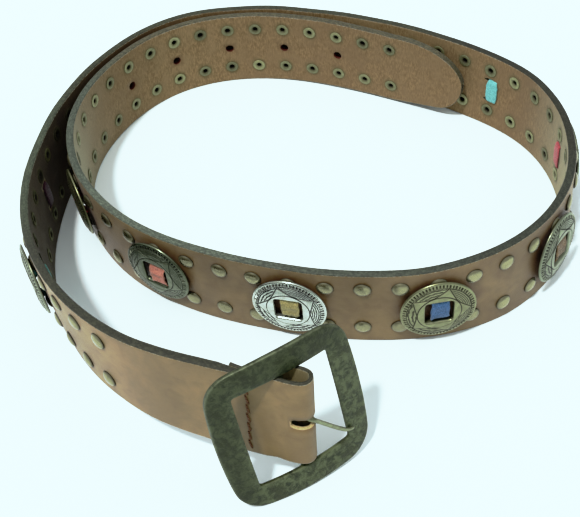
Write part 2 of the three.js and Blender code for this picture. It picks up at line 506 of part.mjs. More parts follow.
// A row for each concho: its plate's finish, the colour of its lace, and how far the plate hangs on its lace:
// "along" the strap, "down", "out" from the leather, and "turn" about the strap's height in degrees.
const CONCHOS = [
  { at: 16, plate: 'brass', lace: 'rose' },
  { at: 20, plate: 'dark', lace: 'orange' },
  { at: 24, plate: 'silver', lace: 'cream', along: 0, down: 0.7, turn: 0 },
  { at: 28, plate: 'brass', lace: 'blue', along: 0, down: 1.3, turn: 0 },
  { at: 32, plate: 'nickel', lace: 'rust', along: 1, down: 1.3, turn: 0 },
  { at: 36, plate: 'dark', lace: 'rose', along: 0.6, down: 1, turn: 0 },
  { at: 40, plate: 'brass', lace: 'cyan', along: 0, down: 0.5, turn: 0 },
  { at: 44, plate: 'silver', lace: 'green', along: 0, down: 0.4, turn: 0 },
  { at: 48, plate: 'brass', lace: 'orange', along: 0, down: 0.6, turn: 0 },
  { at: 52, plate: 'dark', lace: 'cream', along: 0, down: 0.7, turn: 0 },
  { at: 56, plate: 'nickel', lace: 'blue' },
  { at: 60, plate: 'brass', lace: 'plum' },
  { at: 64, plate: 'nickel', lace: 'teal', along: -1.4, down: -1.3, turn: -1, out: 0.2 },
];

// ---------------------------------------------------------------- scene graph
const belt = new THREE.Group();
belt.name = 'studded_belt';
function addTo(group, name, manifold, mat) {
  const mesh = new THREE.Mesh(geometryOf(manifold), mat);
  mesh.name = name;
  group.add(mesh);
  return mesh;
}
addTo(belt, 'strap', strapManifold, LEATHER);
const STUD_RUNS = [{ from: 0, to: 16 }, { from: 17, to: 33 }, { from: 34, to: 50 }, { from: 51, to: 68 }];
STUD_RUNS.forEach((run, i) => {
  addTo(belt, `studs_upper_${i + 1}`, studRow(ROW_UPPER, run.from, run.to), STUD_BRASS);
  addTo(belt, `studs_lower_${i + 1}`, studRow(ROW_LOWER, run.from, run.to), STUD_BRASS);
});
const conchoManifold = conchoShape(), laceManifold = laceShape();
CONCHOS.forEach((c, i) => {
  const place = new THREE.Group(), number = String(i + 1).padStart(2, '0');
  seat(c.at, ROW_MID).decompose(place.position, place.quaternion, place.scale);
  const plate = addTo(place, `concho_${number}`, conchoManifold, PLATES[c.plate]);
  plate.position.set(c.along ?? 0, c.out ?? 0, c.down ?? 0);
  plate.rotation.z = (c.turn ?? 0) * RAD;
  addTo(place, `lace_${number}`, laceManifold, LACES[c.lace]);
  belt.add(place);
});
const buckle = new THREE.Group();
bucklePlace.decompose(buckle.position, buckle.quaternion, buckle.scale);
addTo(buckle, 'buckle_frame', buckleFrame(), BRONZE);
addTo(buckle, 'tongue', tongue(), TONGUE_BRONZE);
belt.add(buckle);

// The origin is under the middle of the whole coil.
const box = new THREE.Box3().setFromObject(belt, true);
belt.position.set(-(box.min.x + box.max.x) / 2, -(box.min.y + box.max.y) / 2, -box.min.z);
belt.updateMatrixWorld(true);

export default belt;
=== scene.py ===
import math

import bpy
import numpy as np
from mathutils import Matrix, Vector


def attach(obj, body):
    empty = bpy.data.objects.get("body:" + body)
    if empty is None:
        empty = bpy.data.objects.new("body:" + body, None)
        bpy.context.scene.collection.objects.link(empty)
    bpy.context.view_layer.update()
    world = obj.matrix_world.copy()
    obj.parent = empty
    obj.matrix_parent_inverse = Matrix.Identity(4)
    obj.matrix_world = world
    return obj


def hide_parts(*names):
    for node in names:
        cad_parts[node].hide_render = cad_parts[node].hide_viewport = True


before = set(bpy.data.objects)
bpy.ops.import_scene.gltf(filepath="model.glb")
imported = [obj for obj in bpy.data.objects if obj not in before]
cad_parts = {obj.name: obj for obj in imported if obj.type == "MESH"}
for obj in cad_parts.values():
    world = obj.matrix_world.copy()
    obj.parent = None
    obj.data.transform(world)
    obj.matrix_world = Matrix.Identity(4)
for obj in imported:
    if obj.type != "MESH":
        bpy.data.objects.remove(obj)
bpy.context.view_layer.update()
scene = bpy.context.scene
MM = 0.001

# ---------------------------------------------------------------- dimensions shared with the solids
PITCH, WIDTH, THICK = 14.3, 39.8, 3.4
LAST_STUD = 68
ROW_LOWER, ROW_UPPER = 9.3, 31.8
ROW_MID = (ROW_LOWER + ROW_UPPER) / 2
TIP_REACH, TIP_UPPER, TIP_LOWER, TIP_END_LOW, TIP_END_HIGH = 2.6, 44.0, 13.0, 14.5, 17.0
HOLE_STATIONS, HOLE_RADIUS = (2, 4, 6, 8, 10), 2.0
CONCHO_STATIONS = tuple(range(16, 65, 4))
SKIVE_START, SKIVE_END, SKIVE_THICK = 71.5, 72.4, 1.6
FOLD_FROM = 72.7
FOLD = [(4, .45), (8, .92), (11.9, .92), (14.15, .40), (15.6, -.80), (16.05, -2.40), (15.7, -3.90), (14.7, -4.95), (12.9, -5.55),
        (11, -5.72), (8, -5.55), (4, -4.60), (.8, -2.60), (-3, -.75), (-6.5, -1.0), (-9.5, -1.45), (-12.9, -2.0)]
SHIFT = np.array([-8.282, -332.860, 0.0])
# station, x, y, lean of the top edge outwards in degrees, lift of the lower edge
PLAN = np.array([
    (-2.6, 89.62, 403.99, -2.9, 5.3), (-0.1, 59.77, 423.74, -5.0, 0.9), (2.7, 25.18, 443.79, -3.5, 0.6),
    (5.4, -11.58, 454.74, -2.7, 0.0), (8.1, -49.10, 448.19, -1.7, 0.0), (10.9, -78.29, 420.62, -0.2, 0.0),
    (13.6, -91.14, 384.35, 1.7, 0.0), (16.3, -84.80, 346.33, 3.2, 0.0), (19.1, -62.15, 313.24, 1.9, 0.0),
    (21.8, -30.13, 291.79, 1.5, 0.0), (24.5, 5.81, 277.87, 2.8, 0.0), (27.3, 45.19, 271.40, 1.6, 0.0),
    (30, 82.56, 279.24, -1.3, 0.0), (32.7, 111.22, 304.43, -2.3, 0.0), (35.5, 123.39, 342.12, -1.5, 0.0),
    (38.2, 117.25, 379.66, 0.5, 0.0), (40.9, 93.31, 409.36, 1.3, 0.0), (43.7, 61.04, 433.10, 1.3, 0.0),
    (46.4, 26.49, 451.00, -1.9, 0.0), (49.1, -11.45, 461.07, -2.7, 0.0), (51.9, -52.00, 454.45, -1.6, 0.0),
    (54.6, -80.96, 428.03, 0.3, 0.0), (57.3, -98.20, 393.29, 3.3, 0.0), (60.1, -106.36, 354.11, 3.7, 0.1),
    (62.8, -104.13, 315.71, 3.7, 1.8), (65.5, -90.74, 279.78, 4.0, 7.4), (68.3, -67.49, 247.31, -0.1, 11.5),
    (69.6, -53.03, 235.59, -2.7, 12.6), (71, -35.54, 225.95, -4.7, 13.6), (72.3, -18.69, 218.31, -6.2, 13.6),
    (73.7, 0.18, 211.86, -7.0, 13.4), (76.5, 39.79, 206.01, -6.6, 13.3)])

# ---------------------------------------------------------------- camera
ELEVATION, ROLL, FOCAL = math.radians(46.168), math.radians(5.549), 1064.0
right0 = Vector((1, 0, 0))
up0 = Vector((0, math.sin(ELEVATION), math.cos(ELEVATION)))
look = Vector((0, math.cos(ELEVATION), -math.sin(ELEVATION)))
cam_x = math.cos(ROLL) * right0 - math.sin(ROLL) * up0
cam_y = math.sin(ROLL) * right0 + math.cos(ROLL) * up0
cam_data = bpy.data.cameras.new("camera")
cam_data.sensor_width = 36.0
cam_data.lens = FOCAL / 580 * 36.0
cam_data.clip_start, cam_data.clip_end = 0.01, 50
camera = bpy.data.objects.new("camera", cam_data)
scene.collection.objects.link(camera)
camera.matrix_world = Matrix((
    (cam_x.x, cam_y.x, -look.x, SHIFT[0] * MM),
    (cam_x.y, cam_y.y, -look.y, SHIFT[1] * MM),
    (cam_x.z, cam_y.z, -look.z, 335.2 * MM),
    (0, 0, 0, 1)))
scene.camera = camera


# ---------------------------------------------------------------- plan curve
def spline(xs, ys):
    n = len(xs)
    m, c, d = np.zeros(n), np.zeros(n), np.zeros(n)
    for i in range(1, n - 1):
        h0, h1 = xs[i] - xs[i - 1], xs[i + 1] - xs[i]
        b = 2 * (h0 + h1) - h0 * c[i - 1]
        c[i] = h1 / b
        d[i] = (6 * ((ys[i + 1] - ys[i]) / h1 - (ys[i] - ys[i - 1]) / h0) - h0 * d[i - 1]) / b
    for i in range(n - 2, 0, -1):
        m[i] = d[i] - c[i] * m[i + 1]

    def at(s):
        s = np.asarray(s, float)
        i = np.clip(np.searchsorted(xs, s, side="left") - 1, 0, n - 2)
        h = xs[i + 1] - xs[i]
        a, b = (xs[i + 1] - s) / h, (s - xs[i]) / h
        return a * ys[i] + b * ys[i + 1] + ((a ** 3 - a) * m[i] + (b ** 3 - b) * m[i + 1]) * h * h / 6
    return at


plan_x, plan_y = spline(PLAN[:, 0], PLAN[:, 1]), spline(PLAN[:, 0], PLAN[:, 2])


def lean_at(s):
    return np.radians(np.interp(s, PLAN[:, 0], PLAN[:, 3]))


def lift_at(s):
    return np.interp(s, PLAN[:, 0], PLAN[:, 4])


def heading_at(s):
    return np.arctan2(plan_y(s + .02) - plan_y(s - .02), plan_x(s + .02) - plan_x(s - .02))


def strap_point(s, across, up):
    s, across, up = np.broadcast_arrays(np.asarray(s, float), np.asarray(across, float), np.asarray(up, float))
    a = heading_at(s)
    off = across + (up - WIDTH / 2) * np.tan(lean_at(s))
    return np.stack([plan_x(s) + np.sin(a) * off, plan_y(s) - np.cos(a) * off, up + lift_at(s)], -1) + SHIFT


def fold_point(along, across, up):
    along, across, up = np.broadcast_arrays(np.asarray(along, float), np.asarray(across, float), np.asarray(up, float))
    # the fold turns a little out of line with the strap
    t = np.clip(along / 8, 0, 1)
    turned = t * t * (3 - 2 * t) * (WIDTH / 2 - up)
    along, across = along + .0176 * turned, across + .02 * turned
    before = strap_point(FOLD_FROM + np.minimum(along, 0) / PITCH, across, up)
    a = float(heading_at(FOLD_FROM))
    more = np.maximum(along, 0)
    return before + np.stack([np.cos(a) * more, np.sin(a) * more, 0 * more], -1)


def unit(v):
    return v / np.linalg.norm(v, axis=-1, keepdims=True)


def catmull(points, steps):
    """Centripetal curve through points, sampled evenly in its own parameter."""
    p = [np.array(q, float) for q in points]
    out = []
    for k in range(steps + 1):
        t = (len(p) - 1) * k / steps
        i = min(int(t), len(p) - 2)
        w = t - i
        p1, p2 = p[i], p[i + 1]
        p0 = p[i - 1] if i > 0 else 2 * p1 - p2
        p3 = p[i + 2] if i + 2 < len(p) else 2 * p2 - p1
        d0, d1, d2 = (max(np.dot(b - a, b - a) ** 0.25, 1e-6) for a, b in ((p0, p1), (p1, p2), (p2, p3)))
        t1 = ((p1 - p0) / d0 - (p2 - p0) / (d0 + d1) + (p2 - p1) / d1) * d1
        t2 = ((p2 - p1) / d1 - (p3 - p1) / (d1 + d2) + (p3 - p2) / d2) * d1
        c2, c3 = -3 * p1 + 3 * p2 - 2 * t1 - t2, 2 * p1 - 2 * p2 + t1 + t2
        out.append(p1 + t1 * w + c2 * w * w + c3 * w ** 3)
    return np.array(out)


def even(points, step):
    """Resamples a line to even steps of about that length."""
    d = np.r_[0, np.cumsum(np.linalg.norm(np.diff(points, axis=0), axis=1))]
    n = max(2, int(round(d[-1] / step)))
    q = np.linspace(0, d[-1], n + 1)
    return np.stack([np.interp(q, d, points[:, k]) for k in range(points.shape[1])], -1)


rng = np.random.default_rng(7)


def wave(seed, low=.5, high=2.0, terms=7):
    """A smooth wandering function of one variable, about -1 to 1, with that span of wavelengths in its unit."""
    r = np.random.default_rng(seed)
    lengths = np.exp(r.uniform(math.log(low), math.log(high), terms))
    phases, sizes = r.uniform(0, 2 * math.pi, terms), r.uniform(.5, 1, terms)
    return lambda x: sum(a * np.sin(2 * math.pi * np.asarray(x) / l + p) for a, l, p in zip(sizes, lengths, phases)) / sizes.sum() * 1.4


# ---------------------------------------------------------------- mesh helpers
class Build:
    """Collects points, faces and values per point, then makes one mesh piece."""

    def __init__(self):
        self.points, self.faces, self.values, self.marks = [], [], {}, []
        self.count = 0

    def add(self, points, **values):
        points = np.asarray(points, float).reshape(-1, 3)
        start, n = self.count, len(points)
        self.points.append(points)
        self.count += n
        for key, v in values.items():
            v = np.asarray(v, float)
            width = v.shape[-1] if v.ndim > 1 else 1
            full = np.zeros((n, width)) + (v.reshape(-1, width) if v.size > 1 or width > 1 else float(v.reshape(-1)[0]))
            self.values.setdefault(key, []).append((start, full))
        return np.arange(start, start + n)

    def face(self, *loop, mark=0):
        self.faces.append(tuple(int(i) for i in loop))
        self.marks.append(mark)

    def quads(self, a, b, closed=False, mark=0, flip=False):
        """Quads between two rows of points."""
        n = len(a)
        for i in range(n if closed else n - 1):
            j = (i + 1) % n
            self.face(*((a[i], b[i], b[j], a[j]) if flip else (a[i], a[j], b[j], b[i])), mark=mark)

    def piece(self, name, materials, body, slot=None, replaces=(), smooth=None):
        me = bpy.data.meshes.new(name)
        pts = np.concatenate(self.points) * MM
        me.from_pydata(pts.tolist(), [], self.faces)
        me.validate()
        for key, rows in self.values.items():
            width = rows[0][1].shape[1]
            data = np.zeros((self.count, width), np.float32)
            for start, full in rows:
                data[start:start + len(full)] = full
            kind, field = ("FLOAT_VECTOR", "vector") if width == 3 else ("FLOAT", "value")
            layer = me.attributes.new(key, kind, "POINT")
            layer.data.foreach_set(field, data.ravel())
        for m in materials:
            me.materials.append(m)
        if len(me.polygons) == len(self.marks):
            me.polygons.foreach_set("material_index", np.array(self.marks, np.int32))
        me.shade_smooth()
        if smooth is not None:
            me.set_sharp_from_angle(angle=math.radians(smooth))
        me.update()
        obj = bpy.data.objects.new(name, me)
        scene.collection.objects.link(obj)
        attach(obj, body)
        if replaces:
            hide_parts(*replaces)
        return obj


# ---------------------------------------------------------------- material helpers
def linear(r, g, b):
    return tuple((c / 255 / 12.92 if c <= 10 else ((c / 255 + .055) / 1.055) ** 2.4) for c in (r, g, b)) + (1.0,)


class Nodes:
    def __init__(self, name):
        self.material = bpy.data.materials.new(name)
        self.material.use_nodes = True
        self.tree = self.material.node_tree
        self.tree.nodes.clear()
        self.out = self.tree.nodes.new("ShaderNodeOutputMaterial")
        self.shader = self.tree.nodes.new("ShaderNodeBsdfPrincipled")
        self.tree.links.new(self.shader.outputs[0], self.out.inputs[0])

    def put(self, socket, value):
        if isinstance(value, bpy.types.NodeSocket):
            self.tree.links.new(value, socket)
        else:
            socket.default_value = value

    def set(self, **values):
        names = {"color": "Base Color", "rough": "Roughness", "metal": "Metallic", "normal": "Normal", "specular": "Specular IOR Level",
                 "sheen": "Sheen Weight", "sheen_rough": "Sheen Roughness", "coat": "Coat Weight", "coat_rough": "Coat Roughness", "ior": "IOR"}
        for key, v in values.items():
            self.put(self.shader.inputs[names[key]], v)

    def attribute(self, name, field="Vector"):
        n = self.tree.nodes.new("ShaderNodeAttribute")
        n.attribute_name = name
        return n.outputs[field]

    def value(self, name):
        return self.attribute(name, "Fac")

    def math(self, op, a, b=0.0, c=0.0, clamp=False):
        n = self.tree.nodes.new("ShaderNodeMath")
        n.operation, n.use_clamp = op, clamp
        self.put(n.inputs[0], a)
        self.put(n.inputs[1], b)
        self.put(n.inputs[2], c)
        return n.outputs[0]

    def scale(self, vector, xyz):
        n = self.tree.nodes.new("ShaderNodeVectorMath")
        n.operation = "MULTIPLY"
        self.put(n.inputs[0], vector)
        n.inputs[1].default_value = xyz
        return n.outputs[0]

    def split(self, vector):
        n = self.tree.nodes.new("ShaderNodeSeparateXYZ")
        self.put(n.inputs[0], vector)
        return n.outputs

    def noise(self, vector, scale, detail=3.0, rough=.55, distortion=0.0):
        n = self.tree.nodes.new("ShaderNodeTexNoise")
        self.put(n.inputs["Vector"], vector)
        n.inputs["Scale"].default_value = scale
        n.inputs["Detail"].default_value = detail
        n.inputs["Roughness"].default_value = rough
        n.inputs["Distortion"].default_value = distortion
        return n.outputs["Fac"]

    def cells(self, vector, scale, feature="F1", randomness=1.0):
        n = self.tree.nodes.new("ShaderNodeTexVoronoi")
        n.feature = feature
        self.put(n.inputs["Vector"], vector)
        n.inputs["Scale"].default_value = scale
        n.inputs["Randomness"].default_value = randomness
        return n.outputs["Distance"]

    def ramp(self, value, low, high, to_low=0.0, to_high=1.0, smooth=True):
        n = self.tree.nodes.new("ShaderNodeMapRange")
        n.interpolation_type = "SMOOTHSTEP" if smooth else "LINEAR"
        self.put(n.inputs["Value"], value)
        for key, v in (("From Min", low), ("From Max", high), ("To Min", to_low), ("To Max", to_high)):
            self.put(n.inputs[key], v)
        return n.outputs[0]

    def mix(self, share, a, b):
        n = self.tree.nodes.new("ShaderNodeMix")
        n.data_type = "RGBA"
        self.put(n.inputs[0], share)
        self.put(n.inputs[6], a)
        self.put(n.inputs[7], b)
        return n.outputs[2]

    def blend(self, share, a, b):
        n = self.tree.nodes.new("ShaderNodeMix")
        n.data_type = "FLOAT"
        self.put(n.inputs[0], share)
        self.put(n.inputs[2], a)
        self.put(n.inputs[3], b)
        return n.outputs[0]

    def bump(self, height, strength, distance, normal=None):
        n = self.tree.nodes.new("ShaderNodeBump")
        n.inputs["Strength"].default_value = strength
        n.inputs["Distance"].default_value = distance
        self.put(n.inputs["Height"], height)
        if normal is not None:
            self.put(n.inputs["Normal"], normal)
        return n.outputs[0]

    def grazing(self, blend=.5):
        n = self.tree.nodes.new("ShaderNodeLayerWeight")
        n.inputs["Blend"].default_value = blend
        return n.outputs["Facing"]


# ---------------------------------------------------------------- materials
def leather():
    m = Nodes("belt_leather")
    at = m.attribute("strap_mm")                       # along, up and across, in millimetres
    along, up, across = m.split(at)
    side, edge, burnt, soil = m.value("grain_side"), m.value("edge"), m.value("burnt"), m.value("soil")
    fine = m.noise(at, 2.2, 4, .6)
    broad = m.noise(at, .045, 3, .55, .4)
    blotch = m.noise(at, .16, 4, .6, .6)
    # grain side: waxed brown, darker and redder around the plates, partly its own tone and partly painted shade
    grain = m.mix(m.ramp(broad, .3, .7), linear(107, 88, 54), linear(130, 110, 70))
    grain = m.mix(m.ramp(blotch, .42, .78, 0, .45), grain, linear(95, 71, 41))
    grain = m.mix(m.ramp(fine, .35, .8, 0, .25), grain, linear(137, 120, 78))
    # darker and redder near the plates and studs, towards the lower edge, along two stretches and at the lips of
    # openings: partly the leather's own tone, partly painted shade beside the plate rims and at the lips
    grain = m.mix(m.math("MULTIPLY", burnt, m.ramp(blotch, .2, .7, .6, .95)), grain, linear(70, 34, 20))
    pores = m.cells(at, 2.6)
    creases = m.noise(m.scale(at, (.25, 1.0, 1.0)), .9, 5, .65, .8)
    # flesh side: napped tan suede, speckled with light fibres and darker soil, with painted shade on the inside of the
    # back turns and a painted sheen at grazing angles
    fibre = m.noise(m.scale(at, (1.9, .6, 1.0)), .8, 4, .72, .2)
    nap = m.noise(at, .11, 4, .6, .4)
    flesh = m.mix(m.ramp(fibre, .36, .66), linear(112, 90, 60), linear(146, 124, 87))
    flesh = m.mix(m.ramp(nap, .38, .68, 0, .7), flesh, linear(138, 118, 84))
    flesh = m.mix(m.ramp(m.noise(at, 2.6, 2, .5), .66, .8, 0, .6), flesh, linear(168, 150, 114))
    # darker with soil in random stains, and with painted shade on the flesh of the back turn
    flesh = m.mix(m.math("MULTIPLY", soil, m.ramp(nap, .3, .7, .3, .75)), flesh, linear(96, 70, 48))
    # painted sheen: lighter grey-green where the flesh is seen at a grazing angle
    flesh = m.mix(m.ramp(m.grazing(.35), .25, .8, 0, .6), flesh, linear(160, 162, 136))
    # painted shade: the flesh of the last turn darkened to deep brown
    flesh = m.mix(m.math("MULTIPLY", m.value("dusk"), m.ramp(nap, .3, .7, .95, .82)), flesh, linear(50, 40, 28))
    flesh = m.mix(m.ramp(m.split(at)[0], 1068, 1080, 0, .55), flesh, linear(128, 124, 88))
    flesh = m.mix(m.math("MULTIPLY", m.value("halo"), .6), flesh, linear(88, 84, 56))
    # painted edges, scuffed pale where the fibres lift
    paint = m.attribute("rim_color")
    rim = m.mix(m.ramp(m.noise(m.scale(at, (.6, 1, 1)), 1.3, 5, .7), .40, .66), m.scale(paint, (.5, .5, .5)), m.scale(paint, (1.35, 1.35, 1.35)))
    rim = m.mix(m.ramp(m.noise(at, 4.5, 3, .7), .62, .8, 0, .5), rim, linear(140, 142, 122))
    faces = m.mix(side, flesh, grain)
    worn = m.math("ADD", edge, m.math("MULTIPLY", m.math("SUBTRACT", m.noise(at, .9, 4, .7), .5), .9))
    border = m.ramp(worn, .42, .58)
    # a painted highlight: a thin pale line along the rounded corner where the paint begins
    lifted = m.math("MULTIPLY", m.math("MULTIPLY", m.ramp(edge, .06, .16), m.ramp(edge, .62, .42)), m.ramp(m.noise(at, 1.1, 4, .75), .42, .62))
    color = m.mix(border, faces, rim)
    color = m.mix(m.math("MULTIPLY", lifted, .6), color, linear(165, 168, 150))
    color = m.mix(m.value("raw"), color, m.mix(m.ramp(fine, .3, .7), linear(142, 128, 92), linear(186, 170, 126)))
    # painted shade: dark red-brown in and round the punched holes
    color = m.mix(m.value("pit"), color, linear(70, 24, 10))
    rough = m.blend(side, .93, m.ramp(fine, .2, .8, .40, .54))
    rough = m.blend(border, rough, .62)
    height = m.blend(side, m.math("ADD", m.math("MULTIPLY", fibre, 1.5), m.math("MULTIPLY", nap, 1.2)),
                     m.math("ADD", m.math("MULTIPLY", m.ramp(pores, 0, .35), .22), m.math("MULTIPLY", creases, .55)))
    height = m.blend(border, height, m.math("MULTIPLY", m.noise(at, 1.6, 5, .75), 1.6))
    m.set(color=color, rough=rough, normal=m.bump(height, .55, .00022), specular=.42, sheen=.06, sheen_rough=.5)
    return m.material


def metal(name, bright, dull, dark, rough=(.28, .5), scale=.5, patina=True, depth=.00005, metallic=.95, share=.6, spots=(.55, .75)):
    """Antiqued metal. The plain finish gives way to a dull one in patches, and to a dark one by a per-point value: real
    tarnish in hollows and engraving, and painted shade on some rivets and along the tongue's sides.
    """
    m = Nodes(name)
    at = m.attribute("local_mm")
    patch = m.noise(at, scale, 5, .62, .5)
    fine = m.noise(at, scale * 7, 4, .6)
    color = m.mix(m.ramp(patch, spots[0] - .2, spots[1], 0, share), linear(*bright), linear(*dull))
    color = m.mix(m.ramp(fine, .55, .8, 0, .35), color, linear(*dull))
    mask = m.value("patina")
    color = m.mix(mask, color, linear(*dark))
    r = m.ramp(m.math("ADD", m.math("MULTIPLY", patch, .6), m.math("MULTIPLY", fine, .4)), .3, .7, rough[0], rough[1])
    r = m.blend(mask, r, .7)
    m.set(color=color, rough=r, metal=m.blend(mask, metallic, .35), normal=m.bump(m.math("ADD", patch, m.math("MULTIPLY", fine, .5)), .5, depth), specular=.5)
    return m


def suede(name, light, dark):
    m = Nodes(name)
    at = m.attribute("local_mm")
    fibre = m.noise(m.scale(at, (1.4, .6, 1.0)), 1.6, 6, .75, .8)
    broad = m.noise(at, .35, 3, .6)
    color = m.mix(m.ramp(fibre, .32, .7), linear(*dark), linear(*light))
    color = m.mix(m.ramp(broad, .4, .75, 0, .4), color, linear(*dark))
    # painted shade: the lace darker where it runs under the plate and through the slits
    color = m.mix(m.math("MULTIPLY", m.value("patina"), .8), color, linear(*[c * .35 for c in dark]))
    m.set(color=color, rough=.92, normal=m.bump(fibre, .8, .0003), specular=.25, sheen=.25, sheen_rough=.45)
    return m.material


LEATHER = leather()
STUD = metal("stud_brass", (146, 144, 116), (124, 121, 94), (30, 22, 12), rough=(.2, .32), scale=.3, share=.5).material
RIVET = metal("rivet_shell", (150, 152, 114), (118, 118, 84), (34, 31, 20), rough=(.42, .6), scale=.9, metallic=.55, share=.6).material


def engraved(name, bright, dull, dark, rough, line_share, hatch_share, share=.5, metallic=.95, notch_share=1.0, spots=(.5, .72)):
    """A plate's finish, with the star, its rings and its hatching drawn in the plate's own coordinates."""
    m = metal(name, bright, dull, dark, rough=rough, scale=.28, share=share, metallic=metallic, spots=spots)
    x, _, z = m.split(m.attribute("plate_mm"))
    r = m.math("SQRT", m.math("ADD", m.math("MULTIPLY", x, x), m.math("MULTIPLY", z, z)))
    angle = m.math("ARCTAN2", z, x)
    fold = math.pi / 5
    turned = m.math("ADD", angle, 10 * math.pi + fold)
    part = m.math("ABSOLUTE", m.math("SUBTRACT", m.math("MODULO", turned, 2 * fold), fold))
    px, pz = m.math("MULTIPLY", r, m.math("COSINE", part)), m.math("MULTIPLY", r, m.math("SINE", part))
    # signed distance from the star's edge, positive outside it
    nx, nz, nd = STAR_EDGE
    away = m.math("SUBTRACT", m.math("ADD", m.math("MULTIPLY", px, nx), m.math("MULTIPLY", pz, nz)), nd)

    def line(value, at, half):
        return m.ramp(m.math("ABSOLUTE", m.math("SUBTRACT", value, at)), half, half * .45)
    field = m.math("MULTIPLY", m.ramp(r, STAR_CIRCLE + .05, STAR_CIRCLE + .15), m.ramp(r, FIELD_EDGE, FIELD_EDGE - .1))
    star = m.math("MULTIPLY", line(away, 0, .26), field)
    lines = m.math("MAXIMUM", star, m.math("MAXIMUM", line(r, STAR_CIRCLE, .24), line(r, FIELD_EDGE, .2)))
    outside = m.math("MULTIPLY", m.ramp(away, .2, .45), field)
    # each segment between two points has its own slant of hatching
    segment = m.math("FLOOR", m.math("DIVIDE", m.math("ADD", angle, 2 * math.pi + 1e-3), 2 * fold))
    slant = m.math("MULTIPLY", m.math("SINE", m.math("MULTIPLY", segment, 2.4)), 1.2)
    swing = m.math("ADD", angle, slant)
    across = m.math("ADD", m.math("MULTIPLY", x, m.math("COSINE", swing)), m.math("MULTIPLY", z, m.math("SINE", swing)))
    wobble = m.noise(m.attribute("plate_mm"), .7, 2, .5)
    hatch = m.ramp(m.math("SINE", m.math("ADD", m.math("MULTIPLY", across, 9.5), m.math("MULTIPLY", wobble, 5))), -.15, .45)
    hatch = m.math("MULTIPLY", m.math("MULTIPLY", hatch, outside), m.ramp(m.noise(m.attribute("plate_mm"), .33, 2, .5), .24, .4))
    notch = m.ramp(m.math("SINE", m.math("MULTIPLY", angle, NOTCHES)), -.05, .4)
    ring = m.math("MULTIPLY", m.ramp(r, FIELD_EDGE + .12, FIELD_EDGE + .3), m.ramp(r, NOTCH_EDGE, NOTCH_EDGE - .18))
    notch = m.math("MULTIPLY", notch, ring)
    mask = m.math("MAXIMUM", m.math("MULTIPLY", lines, line_share), m.math("MULTIPLY", hatch, hatch_share))
    mask = m.math("MAXIMUM", mask, m.math("MULTIPLY", notch, notch_share))
    mask = m.math("MAXIMUM", mask, m.value("patina"), clamp=True)
    for link in list(m.tree.links):
        if link.from_node.type == "ATTRIBUTE" and link.from_node.attribute_name == "patina" and link.to_node.type != "MATH":
            target = link.to_socket
            m.tree.links.remove(link)
            m.tree.links.new(mask, target)
    cut = m.math("MAXIMUM", m.math("MAXIMUM", lines, notch), m.math("MULTIPLY", hatch, .5))
    old = m.shader.inputs["Normal"].links[0].from_socket
    m.put(m.shader.inputs["Normal"], m.bump(m.math("SUBTRACT", 1.0, cut), .7, .00015, old))
    return m.material


# star and rings of a plate, in millimetres
STAR_POINT, STAR_CIRCLE, FIELD_EDGE, NOTCH_EDGE, NOTCHES = 12.9, 8.8, 12.95, 14.4, 64
_a = np.array([STAR_POINT, 0.0])
_b = STAR_CIRCLE * np.array([math.cos(math.pi / 5), math.sin(math.pi / 5)])
_n = np.array([(_b - _a)[1], -(_b - _a)[0]])
_n = _n / np.linalg.norm(_n)
if _n @ _a < 0:
    _n = -_n
STAR_EDGE = (float(_n[0]), float(_n[1]), float(_n @ _a))

PLATES = {
    "brass": engraved("plate_brass", (140, 142, 112), (104, 106, 80), (36, 34, 20), (.24, .42), .95, .85, notch_share=.95),
    "dark": engraved("plate_dark", (124, 132, 112), (80, 86, 68), (22, 24, 16), (.22, .4), .85, .6, share=.7, spots=(.45, .7)),
    "silver": engraved("plate_silver", (196, 204, 196), (150, 156, 142), (10, 10, 6), (.16, .34), 1.0, 1.0, share=.55),
    "nickel": engraved("plate_nickel", (128, 134, 114), (96, 100, 80), (28, 28, 18), (.24, .42), .95, .7, notch_share=1.0),
}
LACES = {
    "rose": suede("lace_rose", (186, 96, 102), (128, 56, 62)), "orange": suede("lace_orange", (200, 146, 126), (146, 92, 76)),
    "cream": suede("lace_cream", (180, 174, 122), (126, 118, 74)), "blue": suede("lace_blue", (86, 122, 158), (40, 68, 102)),
    "rust": suede("lace_rust", (138, 118, 86), (86, 68, 46)), "cyan": suede("lace_cyan", (136, 198, 196), (84, 148, 150)),
    "teal": suede("lace_teal", (80, 148, 136), (42, 98, 90)), "plum": suede("lace_plum", (74, 40, 54), (44, 20, 32)),
    "green": suede("lace_green", (122, 148, 92), (76, 100, 54)),
}
CONCHOS = {16: ("brass", "rose"), 20: ("dark", "orange"), 24: ("silver", "cream"), 28: ("brass", "blue"), 32: ("nickel", "rust"),
           36: ("dark", "rose"), 40: ("brass", "cyan"), 44: ("silver", "green"), 48: ("brass", "orange"), 52: ("dark", "cream"),
           56: ("nickel", "blue"), 60: ("brass", "plum"), 64: ("nickel", "teal")}
# how far each plate hangs from its place: along, down, out and turned about the strap's height
HANG = {24: (0, .7, 0, 0), 28: (0, 1.3, 0, 0), 32: (1.0, 1.3, 0, 0), 36: (.6, 1.0, 0, 0), 40: (0, .5, 0, 0), 44: (0, .4, 0, 0), 48: (0, .6, 0, 0),
        52: (0, .7, 0, 0), 64: (-1.4, -1.3, .2, -1)}
LACE_ASIDE = {20: 1.3, 24: .8, 28: .3}
LACE_BEHIND = {40: -1.8}
# how far each plate's star is turned, in degrees
STAR_TURN = {16: 12, 20: -20, 24: 34.7, 28: 1.0, 32: 28, 36: 60, 40: 8, 44: 25, 48: 50, 52: 14, 56: 41, 60: 5, 64: 19}


